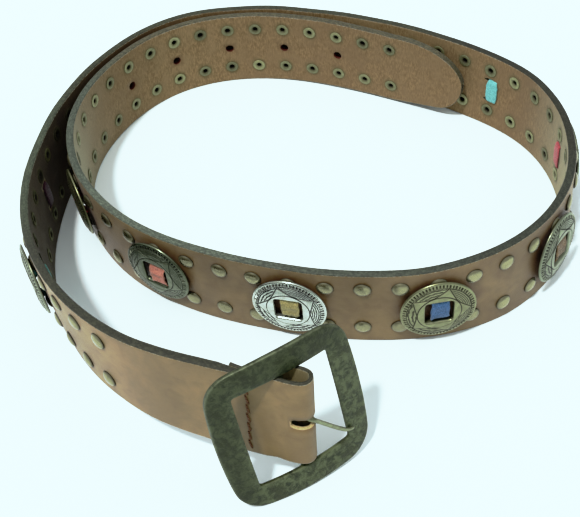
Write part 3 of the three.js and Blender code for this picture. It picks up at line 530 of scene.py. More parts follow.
def bronze():
    """The buckle's dark bronze, with green and brown mottling and rubbed edges."""
    m = Nodes("buckle_bronze")
    at = m.attribute("local_mm")
    large, middle, small = m.noise(at, .09, 5, .7, .5), m.noise(at, .38, 6, .7, .5), m.noise(at, 3.2, 3, .6)
    color = m.mix(m.ramp(middle, .36, .63), linear(44, 49, 33), linear(94, 103, 73))
    color = m.mix(m.ramp(large, .5, .6, 0, .75), color, linear(50, 53, 36))
    color = m.mix(m.ramp(large, .40, .33, 0, .6), color, linear(34, 37, 27))
    color = m.mix(m.ramp(small, .56, .7, 0, .4), color, linear(36, 37, 26))
    color = m.mix(m.ramp(small, .42, .3, 0, .3), color, linear(118, 126, 98))
    left = m.math("MAXIMUM", m.ramp(m.split(at)[0], -14, -24), m.math("MULTIPLY", m.ramp(m.split(at)[1], 14, 26), .9))
    color = m.mix(m.math("MULTIPLY", left, .6), color, linear(38, 42, 27))
    rubbed = m.math("MULTIPLY", m.value("rubbed"), m.ramp(middle, .35, .62, .3, .9))
    color = m.mix(rubbed, color, linear(126, 134, 108))
    rough = m.blend(rubbed, m.ramp(middle, .3, .7, .42, .62), .36)
    height = m.math("ADD", m.math("ADD", m.math("MULTIPLY", large, 1.5), middle), m.math("MULTIPLY", small, .35))
    m.set(color=color, rough=rough, metal=m.blend(rubbed, .55, .85), normal=m.bump(height, .6, .00035), specular=.45)
    return m.material


BRONZE = bronze()
TONGUE = metal("tongue_bronze", (132, 136, 108), (88, 92, 70), (38, 40, 28), rough=(.22, .4), scale=.6, share=.8).material


def thread():
    m = Nodes("thread")
    at = m.attribute("local_mm")
    twist = m.math("SINE", m.math("MULTIPLY", m.split(at)[0], 9.0))
    color = m.mix(m.ramp(twist, -.6, .8), linear(48, 27, 16), linear(140, 100, 72))
    m.set(color=color, rough=.7, normal=m.bump(twist, .7, .0001), specular=.3)
    return m.material


THREAD = thread()

# ---------------------------------------------------------------- strap
EDGE_ROUND = .75


def corner(along, length):
    return np.sqrt(np.maximum(0, 1 - (1 - np.minimum(along / length, 1)) ** 2))


def tip_edges(s):
    along = (s + TIP_REACH) * PITCH
    low = TIP_END_LOW * (1 - corner(along, TIP_LOWER))
    high = TIP_END_HIGH + (WIDTH - TIP_END_HIGH) * (1 - (1 - np.clip(along / TIP_UPPER, 0, 1)) ** 2.4) ** .6
    return low, high


fold_line = even(np.vstack([[0, .9], catmull(FOLD, 400)]), 1.15)
fold_step = np.gradient(fold_line, axis=0)
fold_out = unit(np.stack([-fold_step[:, 1], fold_step[:, 0]], -1))
strap_s = np.round(np.arange(-26, 727 + .5) / 10, 4)
strap_s = np.concatenate([[-2.6, -2.585, -2.56], strap_s[1:]])
N_STRAP, N_FOLD = len(strap_s), len(fold_line) - 1
fold_along = np.concatenate([[0], np.cumsum(np.linalg.norm(np.diff(fold_line, axis=0), axis=1))])


def along_mm(i):
    """Distance along the leather from the tip, of a section."""
    i = np.asarray(i)
    strap = (strap_s[np.minimum(i, N_STRAP - 1)] + TIP_REACH) * PITCH
    return strap + np.where(i >= N_STRAP, fold_along[np.clip(i - N_STRAP + 1, 0, N_FOLD)], 0)


top_wave, side_wave, side_wave2 = wave(3, 30, 150), wave(5, 40, 160), wave(8, 25, 90)


def thickness(s):
    return np.interp(s, [SKIVE_START, SKIVE_END], [THICK, SKIVE_THICK])


def leather_point(i, depth, up):
    """depth is 0 on the grain face and 1 on the flesh face."""
    i, depth, up = np.broadcast_arrays(np.asarray(i), np.asarray(depth, float), np.asarray(up, float))
    wobble = .16 * side_wave(along_mm(i) + 2.2 * up) * np.clip((along_mm(i) - 20) / 60, 0, 1) * np.clip((1020 - along_mm(i)) / 60, 0, 1)
    high = up + .18 * top_wave(along_mm(i)) * np.clip(up / WIDTH, 0, 1) ** 3
    s = strap_s[np.minimum(i, N_STRAP - 1)]
    strap = strap_point(s, THICK / 2 - depth * thickness(s) + wobble, high)
    k = np.clip(i - N_STRAP + 1, 0, N_FOLD)
    off = (.5 - depth) * SKIVE_THICK
    folded = fold_point(fold_line[k, 0] + fold_out[k, 0] * off, fold_line[k, 1] + fold_out[k, 1] * off, high)
    return np.where((i >= N_STRAP)[..., None], folded, strap)


# lines of the grid up the strap, on both faces
rows = np.concatenate([[EDGE_ROUND], ROW_MID + 1.25 * np.arange(-15, 15), [WIDTH - EDGE_ROUND]])
N_ROWS = len(rows)
ROW0 = 16                                              # the row at the strap's middle


def limits(i):
    s = strap_s[np.minimum(i, N_STRAP - 1)]
    low, high = tip_edges(s)
    return low, high


def up_at(i, j):
    low, high = limits(i)
    r = np.minimum(EDGE_ROUND, .42 * (high - low))
    f = (rows[j] - EDGE_ROUND) / (WIDTH - 2 * EDGE_ROUND)
    return low + r + (high - low - 2 * r) * f


sections = np.arange(N_STRAP + N_FOLD)
concho_mm = [(k + TIP_REACH) * PITCH for k in CONCHO_STATIONS]


def near_conchos(along, up):
    """How near a point of the leather is to a plate: 1 under its rim, 0 well away."""
    out = np.zeros(np.broadcast(along, up).shape)
    for c in concho_mm:
        d = np.hypot(along - c, (up - ROW_MID) * .92)
        out = np.maximum(out, (1 - np.clip((d - 12.6) / 10, 0, 1)) ** 1.5)
    return out


def near_studs(along, up):
    k = np.round(along / PITCH - TIP_REACH)
    ok = (k >= 0) & (k <= LAST_STUD)
    d = np.minimum(*(np.hypot(along - (k + TIP_REACH) * PITCH, up - row) for row in (ROW_LOWER, ROW_UPPER)))
    return np.where(ok, 1 - np.clip((d - 3.2) / 2.2, 0, 1), 0)


def halo_studs(along, up):
    """The pressed ring round each rivet on the flesh side."""
    k = np.round(along / PITCH - TIP_REACH)
    ok = (k >= 0) & (k <= LAST_STUD)
    d = np.minimum(*(np.hypot(along - (k + TIP_REACH) * PITCH, up - row) for row in (ROW_LOWER, ROW_UPPER)))
    return np.where(ok, 1 - np.clip((d - 3.3) / 1.2, 0, 1), 0)


stain = wave(21, 50, 260)
# paint of the cut edges along the strap, by station
RIM = [(-2.6, 90, 86, 64), (9.5, 90, 86, 64), (12, 82, 90, 76), (15.5, 82, 90, 76), (17.5, 100, 110, 94), (22, 100, 110, 94), (24, 84, 90, 76), (27, 74, 80, 66), (30, 58, 62, 50), (33, 56, 60, 48),
       (35, 46, 46, 32), (41, 46, 46, 32), (43, 60, 62, 42), (56, 62, 64, 44), (58, 76, 85, 66), (62, 76, 85, 66), (64, 60, 60, 45), (70.5, 60, 60, 45), (72, 62, 62, 46), (80, 66, 64, 48)]
rim_at, rim_rgb = np.array([r[0] for r in RIM]), .74 * np.array([linear(*r[1:])[:3] for r in RIM])
strap = Build()


def add_leather(i, depth, up, edge):
    i, depth, up, edge = np.broadcast_arrays(np.asarray(i), np.asarray(depth, float), np.asarray(up, float), np.asarray(edge, float))
    i, depth, up, edge = (a.ravel() for a in (i, depth, up, edge))
    along = along_mm(i)
    # the dark grain tone: near plates and studs partly the leather's own tone and partly painted shade beside their
    # rims; also darker towards the lower edge and along two stretches of the strap
    burnt = np.clip(np.maximum(.8 * near_conchos(along, up), .38 * near_studs(along, up)), 0, 1)
    burnt = np.maximum(burnt, .25 * np.clip((7 - up) / 7, 0, 1)) * (along < 1000)
    burnt = np.maximum(burnt, .5 * np.clip((along - 210) / 30, 0, 1) * np.clip((335 - along) / 70, 0, 1))
    burnt = np.maximum(burnt, .16 * np.clip((along - 240) / 60, 0, 1) * np.clip((530 - along) / 60, 0, 1))
    # soil on the flesh side: random stains, plus painted shade on the flesh between stations 46 and 68
    soil = np.clip(.35 + .5 * stain(along), 0, 1)
    soil = np.maximum(soil, .9 * np.clip((along - 700) / 60, 0, 1) * np.clip((1010 - along) / 60, 0, 1))
    grain = (depth < .5) * 1.0
    station = along / PITCH - TIP_REACH
    rim = np.stack([np.interp(station, rim_at, rim_rgb[:, c]) for c in range(3)], -1)
    rim = rim * np.where((up < 2) & (depth < .6), .6, 1)[:, None]
    halo = halo_studs(along, up) * (depth > .9)
    # painted shade on the flesh side of the last turn, stations 50 to 72
    dusk = np.clip((along - 750) / 110, 0, 1) * np.clip((1062 - along) / 30, 0, 1) * (depth > .9)
    return strap.add(leather_point(i, depth, up), rim_color=rim, halo=halo, dusk=dusk, strap_mm=np.stack([along, up, depth * THICK], -1), grain_side=grain, edge=edge,
                     burnt=burnt * grain, soil=soil * (1 - grain))


jj = np.arange(N_ROWS)
ii, uu = np.meshgrid(sections, jj, indexing="ij")
face_up = up_at(ii, uu)
outer = add_leather(ii, 0.0, face_up, 0.0).reshape(ii.shape)
inner = add_leather(ii, 1.0, face_up, 0.0).reshape(ii.shape)

# rounded edges: from the grain face round the top edge to the flesh face, and the same below
arc = [(a, 1 - math.cos(a), math.sin(a)) for a in np.radians([22, 45, 68])]
low, high = limits(sections)
radius = np.minimum(EDGE_ROUND, .42 * (high - low))
thick_here = np.where(sections >= N_STRAP, SKIVE_THICK, thickness(strap_s[np.minimum(sections, N_STRAP - 1)]))


def edge_rows(top):
    """Rows of points from the grain face to the flesh face along one edge."""
    base, sign = (high, 1) if top else (low, -1)
    made = []
    for a, down, out in arc:
        made.append(add_leather(sections, radius * (1 - math.cos(a)) / thick_here, base - sign * radius * (1 - math.sin(a)), min(1, math.degrees(a) / 50)))
    for share in (.33, .5, .67):
        made.append(add_leather(sections, share, base + sign * .05, 1.0))
    for a, down, out in reversed(arc):
        made.append(add_leather(sections, 1 - .8 * radius * (1 - math.cos(a)) / thick_here, base - sign * .8 * radius * (1 - math.sin(a)), min(1, math.degrees(a) / 50)))
    return made


top_rows, bottom_rows = edge_rows(True), edge_rows(False)
for a, b in zip([outer[:, -1], *top_rows], [*top_rows, inner[:, -1]]):
    strap.quads(a, b)
for a, b in zip([outer[:, 0], *bottom_rows], [*bottom_rows, inner[:, 0]]):
    strap.quads(a, b, flip=True)
# closed ends, at the tip and at the end of the returned layer
for end, flip in ((0, False), (len(sections) - 1, True)):
    loop = [*outer[end, :], *[r[end] for r in top_rows], *inner[end, ::-1], *[r[end] for r in reversed(bottom_rows)]]
    centre = strap.add(np.mean([leather_point(end, .5, up_at(np.array(end), np.array(j))) for j in (0, N_ROWS - 1)], axis=0),
                       strap_mm=np.array([[float(along_mm(end)), float(np.mean(face_up[end])), 1.7]]), grain_side=0.0, edge=1.0, burnt=0.0, soil=0.0,
                       rim_color=rim_rgb[:1])[0]
    for a, b in zip(loop, loop[1:] + loop[:1]):
        strap.face(*((centre, a, b) if flip else (centre, b, a)))

removed = set()


def section_of(s):
    return int(np.argmin(np.abs(strap_s - s)))


def cut(i0, i1, j0, j1, outline, ease=.3, sink=.16, dark=.6, raw=0.0, pit=0.0):
    """Cuts an opening through both faces inside a block of cells. outline gives its points, in section index and up, for n points."""
    for i in range(i0, i1):
        for j in range(j0, j1):
            removed.add((i, j))
    ring = [(i, j0) for i in range(i0, i1)] + [(i1, j) for j in range(j0, j1)] + [(i, j1) for i in range(i1, i0, -1)] + [(i0, j) for j in range(j1, j0, -1)]
    where = np.array([[i, face_up[i, j]] for i, j in ring], float)
    hole = outline(where)
    centre = hole.mean(0)
    # section indices are whole, so points between sections are mixed from the two beside them
    def at(points, depth):
        i = np.clip(points[:, 0], 0, len(sections) - 1.001)
        lo = np.floor(i).astype(int)
        w = (i - lo)[:, None]
        return leather_point(lo, depth, points[:, 1]) * (1 - w) + leather_point(lo + 1, depth, points[:, 1]) * w, along_mm(lo) * (1 - w[:, 0]) + along_mm(lo + 1) * w[:, 0]

    def ring_at(points, depth, edge, grain, bare=0.0, pit=0.0):
        p, along = at(points, depth)
        # grain rings round each opening are darker: painted shade at the lip, with the tone near the plates
        burnt = np.clip(.8 * near_conchos(along, points[:, 1]) + .3, 0, 1) if grain else 0 * along
        return strap.add(p, strap_mm=np.stack([along, points[:, 1], np.full(len(along), depth * THICK)], -1), grain_side=float(grain), edge=edge,
                         burnt=burnt, soil=np.full(len(along), 0.0 if grain else .5), raw=bare, pit=pit,
                         rim_color=np.tile(rim_rgb[0] * .7, (len(along), 1)))
    span = (hole - centre)
    scale_i = PITCH / 10 if i0 < N_STRAP else 1.15
    size = np.hypot(span[:, 0] * scale_i, span[:, 1])[:, None]
    wide = centre + span * (1 + ease / size)
    fo, fi = [outer[i, j] for i, j in ring], [inner[i, j] for i, j in ring]
    t = SKIVE_THICK if i0 >= N_STRAP else THICK
    o1, o2 = ring_at(wide, 0.0, .0, True, 0.0, .35 * pit), ring_at(hole, sink / t, dark, True, raw, pit)
    i2, i1_ = ring_at(hole, 1 - sink / t, dark, False, raw, pit), ring_at(wide, 1.0, .0, False, 0.0, .2 * pit)
    for a, b, grain in ((fo, o1, 1), (o1, o2, 1), (o2, i2, 1), (i2, i1_, 1), (i1_, fi, 1)):
        strap.quads(list(a), list(b), closed=True)


def round_hole(i_mid, up_mid, r, scale_i=PITCH / 10):
    def outline(where):
        n = len(where)
        first = math.atan2(where[0, 1] - up_mid, (where[0, 0] - i_mid) * scale_i)
        a = first + np.arange(n) / n * 2 * math.pi
        return np.stack([i_mid + r * np.cos(a) / scale_i, up_mid + r * np.sin(a)], -1)
    return outline


def slot_hole(i_lo, i_hi, up_lo, up_hi, rounding=.3):
    def outline(where):
        lo, hi = where.min(0), where.max(0)
        f = (where - (lo + hi) / 2) / ((hi - lo) / 2)
        k = np.minimum(np.abs(f[:, 0]), np.abs(f[:, 1]))[:, None] ** 6
        f = f * (1 - rounding * k)
        mid, half = np.array([(i_lo + i_hi) / 2, (up_lo + up_hi) / 2]), np.array([(i_hi - i_lo) / 2, (up_hi - up_lo) / 2])
        return mid + f * half
    return outline


for k in range(LAST_STUD + 1):
    i = section_of(k)
    for row, j in ((ROW_LOWER, ROW0 - 9), (ROW_UPPER, ROW0 + 9)):
        cut(i - 2, i + 2, j - 2, j + 2, round_hole(i, float(face_up[i, j]), 1.5))
    if k in HOLE_STATIONS:
        # punched holes, with painted shade in and round them
        cut(i - 3, i + 3, ROW0 - 3, ROW0 + 3, round_hole(i, ROW_MID, HOLE_RADIUS), dark=.3, pit=1.0)
    if k in CONCHO_STATIONS:
        slope = float(lift_at(k + .5) - lift_at(k - .5)) / PITCH
        for side, j0, j1 in ((-1, ROW0 - 6, ROW0 - 3), (1, ROW0 + 3, ROW0 + 6)):
            mid = i - side * 5.6 * slope / (PITCH / 10)
            cut(i - 3, i + 3, j0, j1, slot_hole(mid - 2.0, mid + 2.0, ROW_MID + side * 5.6 - .75, ROW_MID + side * 5.6 + .75))


def fold_section(along, front):
    """The section of the fold at that distance along, on its front or its returned layer."""
    k = np.arange(N_FOLD + 1)
    turn = int(np.argmax(fold_line[:, 0]))
    ok = (k <= turn) if front else (k >= turn)
    d = np.where(ok, np.abs(fold_line[:, 0] - along), 99)
    return N_STRAP - 1 + int(np.argmin(d))


SLOT_LOW, SLOT_HIGH = WIDTH / 2 + .6 - 2.6, WIDTH / 2 + .6 + 1.9
s0, s1 = fold_section(9.5, True), fold_section(4.6, False)
ragged = wave(31, 1.2, 4)


def tongue_slot(where):
    base = slot_hole(s0, s1, SLOT_LOW, SLOT_HIGH, .12)(where)
    base[:, 1] += .22 * ragged(base[:, 0] * 1.15 + base[:, 1])
    return base


cut(s0 - 1, s1 + 1, ROW0 - 4, ROW0 + 3, tongue_slot, dark=0.0, raw=1.0)

for i in range(len(sections) - 1):
    for j in range(N_ROWS - 1):
        if (i, j) not in removed:
            strap.face(outer[i, j], outer[i + 1, j], outer[i + 1, j + 1], outer[i, j + 1])
            strap.face(inner[i, j], inner[i, j + 1], inner[i + 1, j + 1], inner[i + 1, j])
strap_piece = strap.piece("strap_leather", [LEATHER], "belt", "leather", ["strap"])


# ---------------------------------------------------------------- places on the strap
def seat(s, up, flesh=False):
    """Axes and origin on the grain or flesh face: X along the strap, Y out of that face, Z towards the lower edge."""
    depth = THICK / 2 - (THICK if flesh else 0)
    o = strap_point(s, depth, up)
    along = unit(strap_point(s + .03, depth, up) - strap_point(s - .03, depth, up))
    rise = unit(strap_point(s, depth, up + .5) - strap_point(s, depth, up - .5))
    out = unit(np.cross(along, rise))
    if out @ (strap_point(s, depth + (-1 if flesh else 1), up) - o) < 0:
        out = -out
    high = unit(np.cross(along, out))
    return np.stack([along, out, high]), o


def place(axes, origin, local):
    return np.asarray(local) @ axes + origin


def lathe(build, axes, origin, profile, segments, patina, close_start=True, close_end=False, turn=0.0, sign=1):
    """Turns a profile of (radius, height) round the seat's Y. A first radius of 0 closes it."""
    rings = []
    for (r, h), p in zip(profile, patina):
        n = 1 if r == 0 else segments
        a = turn + np.arange(n) / n * 2 * math.pi
        local = np.stack([r * np.cos(a), np.full(n, h), r * np.sin(a)], -1)
        rings.append(build.add(place(axes, origin, local), local_mm=local + origin * .37, patina=p))
    for a, b in zip(rings, rings[1:]):
        if len(a) == 1:
            for i in range(len(b)):
                build.face(*((a[0], b[i], b[(i + 1) % len(b)]) if sign > 0 else (a[0], b[(i + 1) % len(b)], b[i])))
        elif len(b) == 1:
            for i in range(len(a)):
                build.face(*((a[i], b[0], a[(i + 1) % len(a)]) if sign > 0 else (b[0], a[i], a[(i + 1) % len(a)])))
        else:
            build.quads(list(a), list(b), closed=True, flip=sign > 0)


# ---------------------------------------------------------------- studs
head_profile = [(0, 1.48), (.7, 1.45), (1.4, 1.36), (2.1, 1.18), (2.7, .92), (3.15, .60), (3.42, .28), (3.5, .08), (3.42, -.06), (2.9, -.08)]
head_patina = [0, 0, .0, .02, .06, .3, .8, 1.0, 1.0, 1.0]
shell_profile = [(2.6, .02), (3.05, .1), (3.12, .26), (2.95, .42), (2.5, .5), (1.85, .44), (1.3, .22), (1.0, -.3), (.95, -1.2), (.9, -2.4), (0, -2.5)]
shell_patina = [.8, .45, .2, 0, 0, .12, .45, .9, 1, 1, 1]
shade = np.random.default_rng(55)
for row_name, row in (("upper", ROW_UPPER), ("lower", ROW_LOWER)):
    for n, (first, last) in enumerate(((0, 16), (17, 33), (34, 50), (51, 68)), 1):
        heads, shells = Build(), Build()
        for k in range(first, last + 1):
            jig = rng.normal(0, 1, 6)
            axes, o = seat(k, row)
            tilt = Matrix.Rotation(math.radians(1.6 * jig[0]), 3, "X") @ Matrix.Rotation(math.radians(1.6 * jig[1]), 3, "Z")
            ax = np.array(tilt) @ axes
            grow = 1 + .012 * jig[2]
            lathe(heads, ax, o + .1 * jig[3] * axes[0] + .1 * jig[4] * axes[2], [(r * grow, h + .04) for r, h in head_profile], 28,
                  np.clip(np.array(head_patina) + .06 * max(0, jig[5]), 0, 1), turn=k)
            axes, o = seat(k, row, flesh=True)
            lathe(shells, axes, o, [(r * (1 + .02 * jig[5]), h) for r, h in shell_profile], 22,
                  # rivets between stations 54 and 70 get painted shade on top of their tarnish
                  np.clip(np.array(shell_patina) + shade.uniform(0, .5) + .45 * (53 < k < 71), 0, 1), turn=k, sign=-1)
        heads.piece(f"stud_heads_{row_name}_{n}", [STUD], "belt", "stud_brass", [f"studs_{row_name}_{n}"])
        shells.piece(f"stud_rivets_{row_name}_{n}", [RIVET], "belt", "stud_brass")

# ---------------------------------------------------------------- conchos
PLATE_R = 15.2
WINDOW_X, WINDOW_Z = 5.6, 5.6                          # half sizes inside the lips
ANGLES = 288


def dome(r):
    return 2.0 + 1.8 * (1 - (np.clip(r - 8.0, 0, None) / (PLATE_R - 8.0)) ** 2)


def window_points(hx, hz, round_share=.16):
    a = np.arange(ANGLES) / ANGLES * 2 * math.pi
    f = np.stack([np.cos(a), np.sin(a)], -1)
    f = f / np.max(np.abs(f) / np.array([hx, hz]), axis=1, keepdims=True)
    k = np.minimum(np.abs(f[:, 0]) / hx, np.abs(f[:, 1]) / hz)[:, None] ** 10
    return f * (1 - round_share * .5 * k)


def relief(x, z, turn):
    """Height of the struck pattern above the plain dome."""
    r = np.hypot(x, z)
    a = np.arctan2(z, x) + turn
    fold = math.pi / 5
    part = np.abs((a + 10 * math.pi + fold) % (2 * fold) - fold)
    away = r * np.cos(part) * STAR_EDGE[0] + r * np.sin(part) * STAR_EDGE[1] - STAR_EDGE[2]
    field = (r > STAR_CIRCLE) & (r < FIELD_EDGE)
    h = np.zeros_like(r)
    h = np.where(field & (away > .2), -.16, h)
    h -= .22 * np.exp(-(away / .2) ** 2) * field
    h -= .22 * np.exp(-((r - STAR_CIRCLE) / .2) ** 2)
    h -= .16 * np.exp(-((r - FIELD_EDGE) / .14) ** 2)
    ring = np.clip((r - FIELD_EDGE - .1) / .2, 0, 1) * np.clip((NOTCH_EDGE - r) / .15, 0, 1)
    h -= .34 * ring * (np.sin(a * NOTCHES) > .3)
    h += .1 * np.exp(-((r - 14.85) / .25) ** 2)
    return h


for k, (finish, lace) in CONCHOS.items():
    number = CONCHO_STATIONS.index(k) + 1
    b = Build()
    axes, o = seat(k, ROW_MID)
    jig = np.random.default_rng(100 + k).normal(0, 1, 4)
    aside, down, off, twist = HANG.get(k, (0, 0, 0, 0))
    o = o + aside * axes[0] + off * axes[1] + down * axes[2]
    c, s = math.cos(math.radians(twist)), math.sin(math.radians(twist))
    axes = np.stack([c * axes[0] + s * axes[1], c * axes[1] - s * axes[0], axes[2]])
    axes = np.array(Matrix.Rotation(math.radians(.6 * jig[0]), 3, "X") @ Matrix.Rotation(math.radians(.6 * jig[1]), 3, "Z")) @ axes
    turn = math.radians(STAR_TURN[k])
    ang = np.arange(ANGLES) / ANGLES * 2 * math.pi
    circle = np.stack([np.cos(ang), np.sin(ang)], -1)
    rings = []

    def ring(xz, y, patina):
        local = np.stack([xz[:, 0], np.broadcast_to(y, len(xz)), xz[:, 1]], -1)
        c, s = math.cos(turn), math.sin(turn)
        plate = np.stack([c * xz[:, 0] - s * xz[:, 1], 0 * xz[:, 0], s * xz[:, 0] + c * xz[:, 1]], -1)
        return b.add(place(axes, o, local), local_mm=local + k * 11.3, plate_mm=plate, patina=patina)
    lip_depth = np.where(np.abs(circle[:, 1]) > np.abs(circle[:, 0]) * WINDOW_Z / WINDOW_X, 1.9, .9)
    seq = []
    w_in = window_points(WINDOW_X, WINDOW_Z)
    seq.append((w_in, 3.4 - lip_depth, .55))
    seq.append((w_in, np.full(ANGLES, 3.35) - .3 * lip_depth, .25))
    seq.append((window_points(WINDOW_X + .12, WINDOW_Z + .2), 3.47, .03))
    seq.append((window_points(WINDOW_X + .3, WINDOW_Z + .6), 3.77, .0))
    edge_pts = window_points(WINDOW_X + .55, WINDOW_Z + 1.05)
    seq.append((edge_pts, 3.86, .0))
    for f in (.25, .5, .75, .9):
        pts = edge_pts * (1 - f) + circle * 8.9 * f
        seq.append((pts, 3.85 - .07 * f + .0 * pts[:, 0], 0))
    for r in np.concatenate([np.arange(8.9, 13.1, .24), np.arange(13.12, PLATE_R - .3, .15)]):
        pts = circle * r
        seq.append((pts, dome(r) + relief(pts[:, 0], pts[:, 1], turn), 0))
    for r, h, p in ((PLATE_R - .18, dome(PLATE_R) + .12, 0), (PLATE_R, dome(PLATE_R) - .08, .0), (PLATE_R + .04, dome(PLATE_R) - .4, .2), (PLATE_R - .1, 1.3, .5),
                    (PLATE_R - .8, 1.22, .7), (13.2, 1.9, .8), (11.0, 2.6, .9), (9.3, 2.95, .9)):
        seq.append((circle * r, np.full(ANGLES, h), p))
    w_under = window_points(WINDOW_X + .4, WINDOW_Z + .45)
    seq.append((w_under, 3.0 - .5 * lip_depth, .9))
    seq.append((window_points(WINDOW_X + .2, WINDOW_Z + .2), 3.35 - lip_depth, .8))
    for pts, y, p in seq:
        rings.append(ring(pts, y, p))
    for a, c in zip(rings, rings[1:] + rings[:1]):
        b.quads(list(a), list(c), closed=True)
    b.piece(f"concho_plate_{number:02d}", [PLATES[finish]], "belt", "concho_" + finish, [f"concho_{number:02d}"])

    # the lace: a closed band through two slits, bulging out of the window
    q = Build()
    axes, o = seat(k, ROW_MID)
    r2 = np.random.default_rng(300 + k)
    sag, lean_x = r2.uniform(-.35, .35, 2)
    back = -THICK - .55
    full = 1.0 if k in (20, 24, 28, 32) else .78          # how far it bulges into the window
    line = catmull([(-5.1, back), (-5.6, back + .35), (-5.6, -1.6), (-5.5, .1), (-5.15, .85 * full), (-4.7, 1.8 * full), (-3.7, 2.75 * full), (-2.0, 3.3 * full), (sag, 3.45 * full),
                    (2.2, 3.4 * full), (4.1, 2.95 * full), (4.95, 2.0 * full), (5.2, .95 * full), (5.5, .1), (5.6, -1.6), (5.6, back + .35), (5.1, back),
                    (3, back - .14), (0, back - .22), (-3, back - .14)], 110)
    n = len(line)
    closed = np.vstack([line[:-0 or None]])
    mid = np.cumsum(np.r_[0, np.linalg.norm(np.diff(closed, axis=0), axis=1)])
    tangent = unit(np.gradient(closed, axis=0))
    normal = np.stack([-tangent[:, 1], tangent[:, 0]], -1)
    inside_leather = (closed[:, 1] < .2) & (closed[:, 1] > -THICK + .2)
    in_window = np.clip((closed[:, 1] - .4) / 1.5, 0, 1)
    behind = (closed[:, 1] < -THICK) * np.clip(1.15 - (closed[:, 0] / 5.4) ** 2, 0, 1)
    width = 4.8 + 2.6 * in_window + 1.5 * behind + .4 * wave(400 + k, 2.2, 7)(mid)
    if k == 24:
        width = width * np.where(closed[:, 1] > 1.0, np.interp(closed[:, 0], [-5, 0, 3.0, 4.6], [1, 1, .95, .3]), 1)
    thick = .95 + .25 * in_window
    crumple, drift = wave(500 + k, 2.5, 7), wave(600 + k, 6, 20)
    profile = [(math.cos(a), math.sin(a)) for a in np.arange(16) / 16 * 2 * math.pi]
    rings = []
    for i in range(n):
        loop = []
        for c, s in profile:
            cx = math.copysign(abs(c) ** .45, c) * width[i] / 2
            cy = math.copysign(abs(s) ** .8, s) * thick[i] / 2
            bend = in_window[i] * (.4 * crumple(cx * 1.3 + mid[i] * .8) - .05 * cx * cx * .9)
            h, out = closed[i] + normal[i] * (cy - bend)
            loop.append((cx + in_window[i] * (LACE_ASIDE.get(k, 0) + .5 * lean_x + .25 * drift(mid[i])) + LACE_BEHIND.get(k, 0) * min(1.0, max(0.0, -closed[i, 1] - 1.5)), out, h))
        loop = np.array(loop)
        # painted shade on the lace inside the slits and under the plate, outside the window
        rings.append(q.add(place(axes, o, loop), local_mm=loop + k * 5.7, patina=float(inside_leather[i]) * .9 + .35 * (1 - in_window[i]) * (closed[i, 1] > .2)))
    for a, c in zip(rings, rings[1:] + rings[:1]):
        q.quads(list(a), list(c), closed=True)
    q.piece(f"lace_band_{number:02d}", [LACES[lace]], "belt", "lace_" + lace, [f"lace_{number:02d}"])

# ---------------------------------------------------------------- buckle
B = dict(x=-4.12, y=213.62, z=32.27, yaw=25.0, lean=12.3, roll=3.0)
BOW, BOW_AT, BAR_BACK = 3.3, 28.0, 1.8
turn = Matrix.Rotation(math.radians(B["yaw"]), 3, "Z") @ Matrix.Rotation(math.radians(90 - B["lean"]), 3, "X") @ Matrix.Rotation(math.radians(B["roll"]), 3, "Z")
buckle_axes = np.array(turn).T                         # rows: right, up and front of the buckle
buckle_origin = np.array([B["x"], B["y"], B["z"]]) + SHIFT


def quadratic(p, c, q, n):
    t = np.arange(n)[:, None] / n
    p, c, q = (np.array(v, float) for v in (p, c, q))
    return (1 - t) ** 2 * p + 2 * t * (1 - t) * c + t * t * q


N_SIDE, N_CORNER = 44, 14


def outer_outline(w, h, r, bulge, side_bulge):
    k = .22 * r
    wide, tall = 2 * side_bulge, 2 * bulge
    parts = [quadratic((-w + r, -h), (0, -h - tall), (w - r, -h), N_SIDE), quadratic((w - r, -h), (w - k, -h + k), (w, -h + r), N_CORNER),
             quadratic((w, -h + r), (w + wide, 0), (w, h - r), N_SIDE), quadratic((w, h - r), (w - k, h - k), (w - r, h), N_CORNER),
             quadratic((w - r, h), (0, h + tall), (-w + r, h), N_SIDE), quadratic((-w + r, h), (-w + k, h - k), (-w, h - r), N_CORNER),
             quadratic((-w, h - r), (-w - wide, 0), (-w, -h + r), N_SIDE), quadratic((-w, -h + r), (-w + k, -h + k), (-w + r, -h), N_CORNER)]
    return np.vstack(parts)


def smooth_loop(points, times):
    for _ in range(times):
        points = .5 * points + .25 * (np.roll(points, 1, 0) + np.roll(points, -1, 0))
    return points


outside = smooth_loop(outer_outline(27.3, 31.7, 9.0, .8, 1.22), 6)
inside = outer_outline(18.4, 21.75, 1.0, .3, .15)
loop_count = len(outside)
frame_build = Build()
wobble_o, wobble_f = wave(41, 20, 60), wave(42, 12, 40)
length = np.r_[0, np.cumsum(np.linalg.norm(np.diff(outside, axis=0), axis=1))]
half = 1.5
# around the bar of the frame: share from inside to outside, height and rubbing
profile = [(0.008, .62, .2), (.02, .84, .25), (.06, .95, .1), (.25, 1.0, 0), (.5, 1.02, 0), (.75, 1.0, 0), (.92, .95, .05), (.965, .88, .25), (.985, .74, .6),
           (.998, .45, .5), (1.0, 0, .3), (.999, -.5, .2), (.985, -.78, .15), (.95, -.95, .1), (.88, -1.0, 0), (.6, -1.0, 0), (.3, -1.0, 0), (.08, -.98, 0), (.03, -.9, .1),
           (.008, -.7, .1), (0, -.3, .0), (0, .3, .0)]
rings = []
for share, h, rub in profile:
    xy = inside * (1 - share) + outside * share
    bump = .07 * wobble_f(length + 30 * share) if abs(h) > .93 else .04 * wobble_f(length + 9)
    local = np.stack([xy[:, 0], xy[:, 1], h + bump * np.sign(h) - BOW * (xy[:, 0] / BOW_AT) ** 2], -1)
    rings.append(frame_build.add(place(buckle_axes, buckle_origin, local), local_mm=local, rubbed=np.full(loop_count, rub), patina=0.0))
for a, c in zip(rings, rings[1:] + rings[:1]):
    frame_build.quads(list(a), list(c), closed=True, flip=True)
